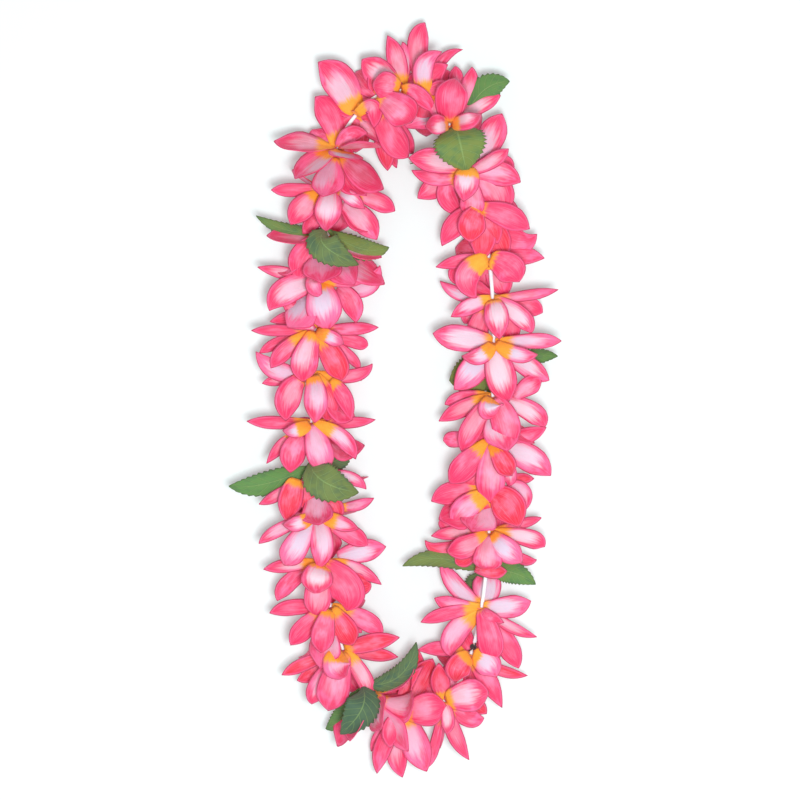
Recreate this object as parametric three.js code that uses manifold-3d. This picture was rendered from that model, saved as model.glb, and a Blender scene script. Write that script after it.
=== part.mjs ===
// A flower lei laid out on a surface as one long loop, in millimetres, +Z up and +Y along its long axis.
// A cord runs through short plastic sleeves. Fabric blooms and leaf whorls sit on the sleeves.
// Every blade is drawn in the string's own space: a place along the string, a distance across it
// (positive away from the loop's hole) and a height above it. Blades are graphs there, stacked in order,
// so that none can cross.
import * as THREE from "three";
import Module from "manifold-3d";

const wasm = await Module();
wasm.setup();

// Driving dimensions, in millimetres.
const stringHeight = 26;
const cordRadius = 0.5;
const sleeveBore = 0.95;
const sleeveRadius = 1.5;
const sleeveGap = 0.3;
const sleevePieces = 16;
const sleeveSides = 5;
const cordSides = 5;
const cordSag = 0.28;
const leastBend = 0.0001;
const leastStep = 1.3;
const shortestStep = 9;
const longestStep = 26;
const longerLastStep = 1.4;
const hubBore = 2.5;
const hubRadius = 4.6;
const hubFront = -1.6;
const hubBack = 7.2;
const hubSides = 6;
const whorlHubFront = -1.2;
const whorlHubBack = 2;
const lowerStep = 4;
const flatMiddle = 4;
const petalReach = 36.4;
const reachSpread = 0.086;
const petalHalfWidth = 11;
const petalNarrowing = 0.84;
const petalShares = [0.42, 0.76, 1];
const sectorFilled = 0.96;
const petalWander = 3;
const ridgeAbove = -0.1;
const petalThickness = 0.8;
const petalSkew = 0.9;
const skewSpread = 0.15;
const leafHalfWidth = 16;
const leafThickness = 0.8;
const leafSkew = 1.8;
const leafShares = [0.26, 0.44, 0.62, 0.8, 1];
const leafOutline = [0, 0.74, 0.97, 0.98, 0.7, 0];
const leafWidening = 1.1;
const toothDepth = 1.8;
const toothPlace = 0.7;
const bladeRoot = 3.2;
const bladeGap = 2.2;
const thicknessKept = 1.5;
const cornerRound = 3;
const steepestSlope = 2;
const footHalfWidth = 3;
const footRise = 1;
const sheetsAhead = 12;
const steepestBend = 0.66;
const bendSpan = 12;
const streamsApart = 3;
const knotRadius = 2.6;
const knotBore = 0.85;
const knotHalfLength = 2.5;
const knotEnds = 0.6;
const knotAhead = 4.9;
// What brings the middle of the whole lei over the origin.
const middleShift = new THREE.Vector2(-1.7, 2.6);

// How many petals each layer of a bloom has, and where its first one points, in degrees.
const upperLayer = { count: 6, first: 90 };
const lowerLayer = { count: 5, first: 108 };

// The five materials.
const petalFabric = { color: 0xff5c93, roughness: 0.8 };
const leafFabric = { color: 0x5b9150, roughness: 0.85 };
const sleevePlastic = { color: 0xf4f2f4, roughness: 0.4 };
const knotThread = { color: 0x2a1c1c, roughness: 0.7 };
const cordFibre = { color: 0xe8e2da, roughness: 0.9 };

// How finely the string is measured, and how finely a blade is followed, in millimetres.
const stringSamples = 1880;
const followStep = 0.25;
const slopeStep = 0.5;

// The string's route through the blooms, seen from above, counter-clockwise from the top.
const stringRoute = [
  [-28, 186], [-38, 165], [-44, 125], [-50, 76], [-54, 26], [-55, -26], [-52, -79], [-44, -132],
  [-33, -168], [-16, -194], [10, -207], [35, -197], [49, -172], [57, -139], [62, -92], [63, -40],
  [65, 13], [65, 59], [61, 102], [51, 145], [38, 179], [18, 201], [-6, 204],
];

// How a bloom's upper petals lie: the droop for each millimetre away from the string, on the side that
// faces up, on the loop's outer and inner sides and on the side that faces the surface. The tilt turns
// the petals of both sides to face up.
const commonLook = { near: 0.46, outer: 0.1, inner: 0.1, ground: 0.36, tilt: 0.55 };
const lowerExtra = { near: 1.1, outer: 0.88, inner: 0.88, ground: 0.78 };
const leafLook = { near: 0.6, outer: 0, inner: 0, ground: 0.5, tilt: 0.7 };

// Down the left side the petals droop away from the loop's top, and so they do down the right side.
// Each entry is a throat's place on the string and, in degrees, how far its petals are turned.
const leftStream = [
  { at: [-41, 167], turn: 0, look: { ground: -0.9 } },
  { at: [-36, 139], turn: 12 },
  { leaves: [-78, 14, 88], at: [-43, 113], look: { outer: -0.25, inner: 0.15 }, reach: [50, 44, 42] },
  { at: [-44, 107], turn: -8 },
  { at: [-49, 79], turn: 6 },
  { at: [-54, 46], turn: 0 },
  { at: [-51, 17], turn: 24 },
  { at: [-55, -15], turn: 2 },
  {
    leaves: [96, -28, -140],
    at: [-57, -43],
    look: { outer: 0.3, near: 0.75, ground: -0.9 },
    reach: [53, 44, 38],
  },
  { at: [-56, -51], turn: 30, look: { outer: 0.4, inner: 0.2 } },
  { at: [-53, -75], turn: 14 },
  { at: [-46, -107], turn: -10 },
  { at: [-43, -137], turn: 8 },
  { at: [-36, -166], turn: -14, look: { inner: 0.35 } },
  { leaves: [-125, -15, 105], at: [-22, -189], look: { inner: -0.3, outer: 0.5 }, reach: [40, 36, 46] },
  { at: [-14, -193], turn: 20, look: { inner: 0.7, outer: 0.3 } },
  { at: [5, -208], turn: 0, look: { inner: 0.7 } },
  { at: [33, -199], turn: 26, look: { inner: 0.7, near: 0.6 } },
];
const rightStream = [
  { at: [-27, 189], turn: 10, look: { ground: -0.6, inner: 0.7 } },
  { at: [-12, 201], turn: -20, look: { inner: 0.8 } },
  { at: [4, 206], turn: 30, look: { inner: 0.8 } },
  { at: [21, 199], turn: 5, look: { inner: 0.8, outer: 0, near: 0.5 } },
  { at: [38, 183], turn: 0, look: { near: 0.3, inner: 0.6, outer: -0.1, ground: -0.9 } },
  { leaves: [10, 80, -120], at: [43, 170], look: { near: 0.45, outer: -0.35 }, reach: [40, 47, 36] },
  { at: [46, 155], turn: 22, look: { near: 0.45, ground: -0.5 } },
  { at: [57, 127], turn: 0, look: { near: 0.9 } },
  { at: [61, 94], turn: 18 },
  { at: [66, 67], turn: -12 },
  { at: [65, 38], turn: 0 },
  { leaves: [-62, 95, 10], at: [64, 20], look: { near: 0.7, outer: -0.1, inner: 0.3 }, reach: [40, 44, 30] },
  { at: [63, 2], turn: 28 },
  { at: [63, -27], turn: 10 },
  { at: [60, -62], turn: 0, look: { outer: 0.2, inner: 0.2 } },
  { at: [62, -88], turn: 20, look: { outer: 0.2, inner: 0.3 } },
  {
    leaves: [-88, 84, 0],
    at: [58, -114],
    look: { near: 1.1, inner: -0.05, outer: 0.25 },
    reach: [51, 40, 34],
  },
  { at: [56, -137], turn: 15, look: { near: 0.4, ground: -0.8 } },
  { at: [50, -168], turn: -18, look: { inner: 0.6 } },
];

const up = new THREE.Vector3(0, 0, 1);
const string = new THREE.CatmullRomCurve3(
  stringRoute.map(([x, y]) => new THREE.Vector3(x + middleShift.x, y + middleShift.y, stringHeight)),
  true,
  "centripetal",
);
string.arcLengthDivisions = stringSamples;
const stringLength = string.getLength();
const share = (place) => THREE.MathUtils.euclideanModulo(place / stringLength, 1);

// A point in the part's frame from a place along the string, a distance across it and a height above it.
function fromString(place, across, height) {
  const outward = new THREE.Vector3().crossVectors(string.getTangentAt(share(place)), up).normalize();
  return string.getPointAt(share(place)).addScaledVector(outward, across).addScaledVector(up, height);
}

// The string's place that is nearest to a point seen from above.
function nearestPlace([x, y]) {
  let best = { distance: Infinity };
  for (let i = 0; i < stringSamples; i++) {
    const point = string.getPointAt(i / stringSamples);
    const distance = Math.hypot(point.x - middleShift.x - x, point.y - middleShift.y - y);
    if (distance < best.distance) best = { distance, place: (i / stringSamples) * stringLength };
  }
  return best.place;
}

// The string's turn in one millimetre.
function bendAt(place) {
  const before = string.getTangentAt(share(place - bendSpan));
  const after = string.getTangentAt(share(place + bendSpan));
  return before.cross(after).z / (2 * bendSpan);
}

// How much a length along the string shrinks or grows on the inside and outside of a bend.
function stretchAt(place, across) {
  return Math.max(1 + bendAt(place) * across, 1 - steepestBend);
}

function seededDraw(seed) {
  let state = seed;
  return () => {
    state = (state + 0x6d2b79f5) | 0;
    let mixed = Math.imul(state ^ (state >>> 15), 1 | state);
    mixed = (mixed + Math.imul(mixed ^ (mixed >>> 7), 61 | mixed)) ^ mixed;
    return ((mixed ^ (mixed >>> 14)) >>> 0) / 4294967296;
  };
}

// The lesser of two values, with the corner between them rounded off.
function softLesser(a, b) {
  const overlap = Math.max(cornerRound - Math.abs(a - b), 0) / cornerRound;
  return Math.min(a, b) - (overlap * overlap * cornerRound) / 4;
}

function slopeAt(look, across, height) {
  const distance = Math.hypot(across, height) || 1;
  const rise = height / distance;
  const side = across / distance;
  const near = look.near * Math.max(rise, 0) ** 2;
  const ground = look.ground * Math.max(-rise, 0) ** 2;
  const sideways = (side > 0 ? look.outer : look.inner) * side * side;
  return near + ground + sideways + look.tilt * (rise - rise * Math.abs(rise));
}

function wishedDroop(sheet, across, height) {
  const distance = Math.hypot(across, height);
  const slope = slopeAt(sheet.look, across, height);
  return sheet.start + (slope * distance * distance) / (distance + flatMiddle);
}

// A sheet's place in its stream over one point of the cross-section, kept clear of the sheet after it.
function sheetPlace(sheet, across, height, depth = 0) {
  let place = sheet.at + wishedDroop(sheet, across, height);
  if (sheet.floor !== undefined) place = -softLesser(-place, -sheet.floor);
  if (sheet.next && depth < sheetsAhead) {
    const beyond = sheetPlace(sheet.next, across, height, depth + 1);
    place = softLesser(place, beyond - clearance(sheet, across));
  } else if (sheet.ceiling !== undefined) {
    place = softLesser(place, sheet.ceiling);
  }
  return place;
}

function skewOf(sheet) {
  return sheet.kind === "leaves" ? leafSkew : petalSkew;
}

function clearance(sheet, across) {
  const stretch = stretchAt(sheet.at * sheet.way, across);
  return skewOf(sheet) + skewOf(sheet.next) + bladeGap + (thicknessKept * petalThickness) / stretch;
}

// Upper layer, lower layer or leaves, in the order in which they sit in one stream.
function sheetsOf(stream, way) {
  const sheets = [];
  for (const stop of stream) {
    const look = { ...(stop.leaves ? leafLook : commonLook), ...stop.look };
    const at = nearestPlace(stop.at) * way;
    if (stop.leaves) {
      sheets.push({ kind: "leaves", stop, at, look, start: 0, way });
      continue;
    }
    const steeper = { tilt: look.tilt };
    for (const side of Object.keys(lowerExtra)) steeper[side] = look[side] + lowerExtra[side];
    sheets.push({ kind: "upper", stop, at, look, start: 0, way });
    sheets.push({ kind: "lower", stop, at, look: steeper, start: lowerStep, way });
  }
  sheets.forEach((sheet, i) => (sheet.next = sheets[i + 1]));
  return sheets;
}

function solidFrom(positions, indices) {
  const vertProperties = new Float32Array(positions);
  return new wasm.Manifold(new wasm.Mesh({ numProp: 3, vertProperties, triVerts: new Uint32Array(indices) }));
}

// One closed blade from points of the cross-section with their places, split alike on both faces.
function bladeSolid(sheet, corners, triangles) {
  const thickness = sheet.kind === "leaves" ? leafThickness : petalThickness;
  const faces = [[], []];
  for (const corner of corners) {
    const distance = Math.hypot(corner.across, corner.height) || 1;
    const further = 1 + slopeStep / distance;
    const here = sheetPlace(sheet, corner.across, corner.height);
    const there = sheetPlace(sheet, corner.across * further, corner.height * further);
    const slope = Math.min(Math.abs(there - here) / slopeStep, steepestSlope);
    const half = (0.5 * thickness * Math.hypot(1, slope)) / stretchAt(here * sheet.way, corner.across);
    for (const [face, shift] of [[0, -half], [1, half]]) {
      const place = (here + corner.skew + shift) * sheet.way;
      faces[face].push(fromString(place, corner.across, corner.height));
    }
  }
  const positions = [...faces[0], ...faces[1]].flatMap((p) => [p.x, p.y, p.z]);
  const count = corners.length;
  const indices = [];
  const seen = new Set(triangles.flatMap(([a, b, c]) => [`${a},${b}`, `${b},${c}`, `${c},${a}`]));
  for (const [a, b, c] of triangles) {
    indices.push(a, b, c, c + count, b + count, a + count);
    for (const [from, to] of [[a, b], [b, c], [c, a]]) {
      if (seen.has(`${to},${from}`)) continue;
      indices.push(to, from, from + count, to, from + count, to + count);
    }
  }
  const turned = sheet.way < 0 ? indices.reverse() : indices;
  return solidFrom(positions, turned);
}

// Distances from the string at which a blade that points one way has grown to each share of its length.
function rowsAlong(sheet, angle, length, shares, root) {
  const rows = [];
  const across = Math.sin(angle);
  const height = Math.cos(angle);
  let distance = root;
  let grown = 0;
  let last = sheetPlace(sheet, across * distance, height * distance);
  for (const share of shares) {
    while (grown < share * length) {
      const further = distance + followStep;
      if (stringHeight + height * further < 0) break;
      if (stretchAt(sheet.at * sheet.way, across * further) <= 1 - steepestBend) break;
      distance = further;
      const place = sheetPlace(sheet, across * distance, height * distance);
      grown += Math.hypot(followStep, place - last);
      last = place;
    }
    rows.push(distance);
  }
  return rows;
}

// A point of the cross-section beside a blade's middle line, never below the surface.
function besideLine(angle, distance, aside, halfWidth, skew) {
  let across = Math.sin(angle) * distance + Math.cos(angle) * aside;
  let height = Math.cos(angle) * distance - Math.sin(angle) * aside;
  if (height < -stringHeight) {
    across *= -stringHeight / height;
    height = -stringHeight;
  }
  return { across, height, skew: (skew * aside) / halfWidth };
}

// A petal has a raised middle only where it is in full view.
function petalSolid(sheet, angle, length, sector, draw) {
  const [shoulder, breast, end] = rowsAlong(sheet, angle, length, petalShares, bladeRoot);
  const skew = petalSkew * (1 - skewSpread * draw());
  const openness = sectorFilled * Math.tan(sector / 2);
  const wide = Math.min(petalHalfWidth, shoulder * openness);
  const narrow = Math.min(petalHalfWidth * petalNarrowing, breast * openness);
  const point = (distance, aside, half) => besideLine(angle, distance, aside, half, skew);
  const corners = [
    point(bladeRoot, 0, 1),
    point(shoulder, -wide, wide),
    point(shoulder, wide, wide),
    point(breast, -narrow, narrow),
    point(breast, narrow, narrow),
  ];
  const triangles = [[0, 2, 1]];
  if (sheet.kind === "upper" && Math.cos(angle) > ridgeAbove) {
    corners.push(point(shoulder, 0, wide));
    triangles.push([1, 2, 5], [1, 5, 3], [5, 4, 3], [5, 2, 4]);
  } else {
    triangles.push([1, 2, 3], [2, 4, 3]);
  }
  const tip = corners.length;
  if (stringHeight + Math.cos(angle) * end < footRise) {
    const foot = besideLine(angle, stringHeight / -Math.cos(angle), 0, 1, 0);
    for (const aside of [footHalfWidth, -footHalfWidth]) {
      corners.push({ across: foot.across + aside, height: -stringHeight, skew: 0 });
    }
    triangles.push([3, 4, tip + 1], [3, tip + 1, tip]);
  } else {
    corners.push(point(end, 0, 1));
    triangles.push([3, 4, tip]);
  }
  return bladeSolid(sheet, corners, triangles);
}

// A leaf with a tooth between each two rows of its edge.
function leafSolid(sheet, angle, length) {
  const rows = [bladeRoot, ...rowsAlong(sheet, angle, length, leafShares, bladeRoot)];
  const corners = [];
  const triangles = [];
  const outline = rows.map((distance, row) => {
    const half = Math.min(leafOutline[row] * leafHalfWidth, distance * leafWidening);
    const asides = half > 0 ? [0, -half, half] : [0];
    const points = asides.map((aside) => besideLine(angle, distance, aside, leafHalfWidth, leafSkew));
    return points.map((point) => corners.push(point) - 1);
  });
  outline.slice(1).forEach((there, i) => {
    const here = outline[i];
    for (const side of [1, 2]) {
      const add = (a, b, c) => triangles.push(side === 1 ? [a, b, c] : [a, c, b]);
      const from = here[side] ?? here[0];
      const to = there[side] ?? there[0];
      if (here.length > 1) add(here[0], there[0], from);
      if (there.length > 1) add(from, there[0], to);
      if (here.length === 1) continue;
      const tooth = toothPoint(corners[from], corners[to], corners[here[0]]);
      add(from, to, corners.push(tooth) - 1);
    }
  });
  return bladeSolid(sheet, corners, triangles);
}

// The point of a tooth, out from the edge between two of its points, on the side away from the rib.
function toothPoint(from, to, rib) {
  const along = new THREE.Vector2(to.across - from.across, to.height - from.height);
  const out = new THREE.Vector2(along.y, -along.x).normalize();
  const inward = new THREE.Vector2(rib.across - from.across, rib.height - from.height);
  if (out.dot(inward) > 0) out.negate();
  return {
    across: from.across + along.x * toothPlace + out.x * toothDepth,
    height: Math.max(from.height + along.y * toothPlace + out.y * toothDepth, -stringHeight),
    skew: from.skew + (to.skew - from.skew) * toothPlace,
  };
}

// A tube in the string's space through some places, with a bore and a radius at each place.
function ringSolid(places, bore, radii, sides, turn = 0) {
  const positions = [];
  const indices = [];
  for (const [i, place] of places.entries()) {
    for (const ringRadius of [radii[i] ?? radii[0], bore]) {
      for (let side = 0; side < sides; side++) {
        const angle = turn + (side / sides) * 2 * Math.PI;
        const point = fromString(place, Math.sin(angle) * ringRadius, Math.cos(angle) * ringRadius);
        positions.push(point.x, point.y, point.z);
      }
    }
  }
  const ring = 2 * sides;
  const quad = (a, b, c, d) => indices.push(a, b, c, a, c, d);
  for (let side = 0; side < sides; side++) {
    const after = (side + 1) % sides;
    for (let i = 0; i < places.length - 1; i++) {
      const here = i * ring;
      const there = here + ring;
      quad(here + side, here + after, there + after, there + side);
      quad(here + sides + after, here + sides + side, there + sides + side, there + sides + after);
    }
    const end = (places.length - 1) * ring;
    quad(after, side, sides + side, sides + after);
    quad(end + side, end + after, end + sides + after, end + sides + side);
  }
  return solidFrom(positions, indices);
}

function hubSolid(sheet, front, back) {
  const places = [sheet.at + front, sheet.at + back].map((place) => place * sheet.way);
  const turn = THREE.MathUtils.degToRad(sheet.stop.turn ?? 0);
  return ringSolid(places.sort((a, b) => a - b), hubBore, [hubRadius], hubSides, turn);
}

function meshOf(name, solid, look) {
  const made = solid.getMesh();
  const geometry = new THREE.BufferGeometry();
  const places = new Float32Array((made.vertProperties.length / made.numProp) * 3);
  for (let i = 0; i < places.length / 3; i++) {
    places.set(made.vertProperties.subarray(i * made.numProp, i * made.numProp + 3), i * 3);
  }
  geometry.setAttribute("position", new THREE.BufferAttribute(places, 3));
  geometry.setIndex(new THREE.BufferAttribute(new Uint32Array(made.triVerts), 1));
  const mesh = new THREE.Mesh(geometry, new THREE.MeshStandardMaterial({ ...look, metalness: 0 }));
  mesh.name = name;
  return mesh;
}

// The petals of both layers round one hub.
function bloomMesh(name, upper, lower, seed) {
  const draw = seededDraw(seed);
  let solid = hubSolid(upper, hubFront, hubBack);
  for (const [sheet, layer] of [[upper, upperLayer], [lower, lowerLayer]]) {
    for (let petal = 0; petal < layer.count; petal++) {
      const wander = petalWander * (draw() - 0.5);
      const degrees = layer.first + sheet.stop.turn + (360 / layer.count) * petal + wander;
      const length = petalReach * (1 + reachSpread * (draw() - 0.5));
      const sector = (2 * Math.PI) / layer.count;
      solid = solid.add(petalSolid(sheet, THREE.MathUtils.degToRad(degrees), length, sector, draw));
    }
  }
  return meshOf(name, solid, petalFabric);
}

function whorlMesh(name, sheet) {
  let solid = hubSolid(sheet, whorlHubFront, whorlHubBack);
  sheet.stop.leaves.forEach((degrees, i) => {
    solid = solid.add(leafSolid(sheet, THREE.MathUtils.degToRad(degrees), sheet.stop.reach[i]));
  });
  return meshOf(name, solid, leafFabric);
}

// Places between two others, closer together where the string bends more.
function spread(from, to) {
  const places = [from];
  while (to - places.at(-1) > leastStep) {
    const here = places.at(-1);
    const bend = Math.abs(bendAt(here + shortestStep / 2)) + leastBend;
    const step = THREE.MathUtils.clamp(Math.sqrt((8 * cordSag) / bend), shortestStep, longestStep);
    const left = to - here;
    places.push(left < longerLastStep * step ? to : here + step);
  }
  return places;
}

function numbered(word, number) {
  return `${word}_${String(number).padStart(2, "0")}`;
}

// Where each sleeve of the loop starts and ends, from the knot round to the knot, and its steps between them.
function sleevePlaces(knotPlace) {
  const pitch = stringLength / sleevePieces;
  const starts = Array.from({ length: sleevePieces }, (_, i) => knotPlace + i * pitch);
  return starts.map((start) => spread(start, start + pitch));
}

function sleeveMesh(allPlaces, index) {
  const places = [...allPlaces[index]];
  places[0] += index === 0 ? knotHalfLength + sleeveGap : sleeveGap / 2;
  places[places.length - 1] -= index === allPlaces.length - 1 ? knotHalfLength + sleeveGap : sleeveGap / 2;
  const solid = ringSolid(places, sleeveBore, [sleeveRadius], sleeveSides);
  return meshOf(numbered("sleeve", index + 1), solid, sleevePlastic);
}

function knotMesh(knotPlace) {
  const places = [-knotHalfLength, 0, knotHalfLength].map((shift) => knotPlace + shift);
  const radii = [knotEnds * knotRadius, knotRadius, knotEnds * knotRadius];
  return meshOf("knot", ringSolid(places, knotBore, radii, hubSides), knotThread);
}

// The cord is a closed loop, so its last ring is its first one.
function cordMesh(allPlaces) {
  const places = allPlaces.flatMap((steps) => steps.slice(1));
  const positions = [];
  const indices = [];
  for (const [i, place] of places.entries()) {
    for (let side = 0; side < cordSides; side++) {
      const angle = (side / cordSides) * 2 * Math.PI;
      const point = fromString(place, Math.sin(angle) * cordRadius, Math.cos(angle) * cordRadius);
      positions.push(point.x, point.y, point.z);
      const after = (side + 1) % cordSides;
      const there = ((i + 1) % places.length) * cordSides;
      indices.push(i * cordSides + side, i * cordSides + after, there + after);
      indices.push(i * cordSides + side, there + after, there + side);
    }
  }
  return meshOf("cord", solidFrom(positions, indices), cordFibre);
}

// Where the two streams meet: throats face each other at the top, drooping petals at the bottom.
function parted(leftSheets, rightSheets) {
  const topMiddle = (leftSheets[0].at - rightSheets[0].at - stringLength) / 2;
  const bottomMiddle = (leftSheets.at(-1).at - rightSheets.at(-1).at) / 2;
  leftSheets[0].floor = topMiddle + streamsApart;
  rightSheets[0].floor = -topMiddle - stringLength + streamsApart;
  leftSheets.at(-1).ceiling = bottomMiddle - streamsApart;
  rightSheets.at(-1).ceiling = -bottomMiddle - streamsApart;
}

const lei = new THREE.Group();
const leftSheets = sheetsOf(leftStream, 1);
const rightSheets = sheetsOf(rightStream, -1);
parted(leftSheets, rightSheets);

let blooms = 0;
let whorls = 0;
for (const sheets of [leftSheets, rightSheets]) {
  for (const sheet of sheets) {
    if (sheet.kind === "upper") {
      blooms += 1;
      lei.add(bloomMesh(numbered("bloom", blooms), sheet, sheet.next, 100 + blooms));
    } else if (sheet.kind === "leaves") {
      whorls += 1;
      lei.add(whorlMesh(numbered("leaf_whorl", whorls), sheet));
    }
  }
}
const knotPlace = -rightSheets.at(-1).at + knotAhead;
const places = sleevePlaces(knotPlace);
for (let i = 0; i < sleevePieces; i++) lei.add(sleeveMesh(places, i));
lei.add(knotMesh(knotPlace), cordMesh(places));

export default lei;
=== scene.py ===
import math
import bpy
import bmesh
import numpy as np
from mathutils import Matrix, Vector


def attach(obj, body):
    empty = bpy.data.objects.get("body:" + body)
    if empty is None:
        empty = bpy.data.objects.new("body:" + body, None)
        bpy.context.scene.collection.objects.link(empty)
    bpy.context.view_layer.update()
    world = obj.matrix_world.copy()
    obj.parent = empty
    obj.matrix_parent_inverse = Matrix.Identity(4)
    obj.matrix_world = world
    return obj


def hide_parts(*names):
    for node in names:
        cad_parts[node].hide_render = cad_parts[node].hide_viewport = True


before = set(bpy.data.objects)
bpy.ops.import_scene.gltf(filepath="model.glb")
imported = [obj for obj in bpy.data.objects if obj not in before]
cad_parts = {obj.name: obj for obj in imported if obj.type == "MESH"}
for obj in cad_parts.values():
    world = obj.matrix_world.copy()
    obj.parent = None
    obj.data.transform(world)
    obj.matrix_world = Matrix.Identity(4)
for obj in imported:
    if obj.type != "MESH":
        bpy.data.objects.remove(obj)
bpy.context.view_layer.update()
mm = 0.001

# the string that everything is threaded on
stringPlan = {
    "route": [
        (-28, 186), (-38, 165), (-44, 125), (-50, 76), (-54, 26), (-55, -26), (-52, -79), (-44, -132),
        (-33, -168), (-16, -194), (10, -207), (35, -197), (49, -172), (57, -139), (62, -92), (63, -40),
        (65, 13), (65, 59), (61, 102), (51, 145), (38, 179), (18, 201), (-6, 204),
    ],
    "shift": (-1.7, 2.6),  # brings the middle of the lei over the origin
    "height": 26.0,  # of the string above the surface
    "bendSpan": 12.0,
    "steepestBend": 0.66,
    "samples": 4600,
    "tangentSpan": 4,  # samples
}


def closedCurve(points, samples):
    # a closed centripetal curve through the points, sampled evenly by length
    p = np.array(points, float)
    count = len(p)
    rows = []
    each = samples // count
    t = np.linspace(0, 1, each, endpoint=False)[:, None]
    for i in range(count):
        a, b, c, d = p[i - 1], p[i], p[(i + 1) % count], p[(i + 2) % count]
        gaps = [math.sqrt(np.linalg.norm(y - x)) for x, y in ((a, b), (b, c), (c, d))]
        start = ((b - a) / gaps[0] - (c - a) / (gaps[0] + gaps[1]) + (c - b) / gaps[1]) * gaps[1]
        end = ((c - b) / gaps[1] - (d - b) / (gaps[1] + gaps[2]) + (d - c) / gaps[2]) * gaps[1]
        rows.append(b + start * t + (-3 * b + 3 * c - 2 * start - end) * t**2 + (2 * b - 2 * c + start + end) * t**3)
    dense = np.vstack(rows + [p[:1]])
    lengths = np.concatenate([[0], np.cumsum(np.linalg.norm(np.diff(dense, axis=0), axis=1))])
    evenly = np.linspace(0, lengths[-1], samples + 1)
    even = np.stack([np.interp(evenly, lengths, dense[:, k]) for k in (0, 1)], 1)
    return even, lengths[-1]


stringPoints, stringLength = closedCurve(stringPlan["route"], stringPlan["samples"])
stringPoints = stringPoints + np.array(stringPlan["shift"])
span = stringPlan["tangentSpan"]
stringTangents = np.roll(stringPoints[:-1], -span, 0) - np.roll(stringPoints[:-1], span, 0)
stringTangents /= np.linalg.norm(stringTangents, axis=1)[:, None]
stringTangents = np.vstack([stringTangents, stringTangents[:1]])


def alongString(table, place):
    spot = np.mod(place, stringLength) / stringLength * stringPlan["samples"]
    return np.stack([np.interp(spot, np.arange(len(table)), table[:, k]) for k in (0, 1)], -1)


def fromString(place, across, height):
    # the point that is so far along the string, across it (away from the loop's hole) and above it
    place, across, height = np.broadcast_arrays(place, across, height)
    tangent = alongString(stringTangents, place)
    tangent /= np.linalg.norm(tangent, axis=-1, keepdims=True)
    spot = alongString(stringPoints, place)
    x = spot[..., 0] + tangent[..., 1] * across
    y = spot[..., 1] - tangent[..., 0] * across
    return np.stack([x, y, height + stringPlan["height"]], -1) * mm


def nearestPlace(at):
    far = np.linalg.norm(stringPoints[:-1] - np.array(stringPlan["shift"]) - np.array(at), axis=1)
    return far.argmin() / stringPlan["samples"] * stringLength


def bendAt(place):
    span = stringPlan["bendSpan"]
    before, after = alongString(stringTangents, place - span), alongString(stringTangents, place + span)
    return (before[..., 0] * after[..., 1] - before[..., 1] * after[..., 0]) / (2 * span)


def stretchAt(place, across):
    return np.maximum(1 + bendAt(np.asarray(place, float)) * across, 1 - stringPlan["steepestBend"])


def laid(tip, via, half, high, pale, **more):
    # a petal or leaf as seen from above: its tip, a point halfway, half its width, its height above the string
    return {"tip": tip, "via": via, "half": half, "high": high, "pale": pale, **more}


# Down the left side the petals droop away from the loop's top, and so they do down the right side.
layerPlan = {
    "upper": {"near": 0.46, "outer": 0.1, "inner": 0.1, "ground": 0.36, "tilt": 0.55},
    "lowerExtra": {"near": 1.1, "outer": 0.88, "inner": 0.88, "ground": 0.78},
    "leaves": {"near": 0.6, "outer": 0.0, "inner": 0.0, "ground": 0.5, "tilt": 0.7},
    "lowerStep": 4.0,  # between a bloom's two layers
    "flatMiddle": 2.5,
    "round": 3.0,
    "ahead": 12,  # how many of the sheets after it a sheet minds
    "gap": 2.2,
    "thickness": 1.2,
    "petalSkew": 0.9,
    "leafSkew": 1.8,
    "apart": -11.0,  # where the two streams meet: the cloth of one reaches in between that of the other
}
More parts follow.
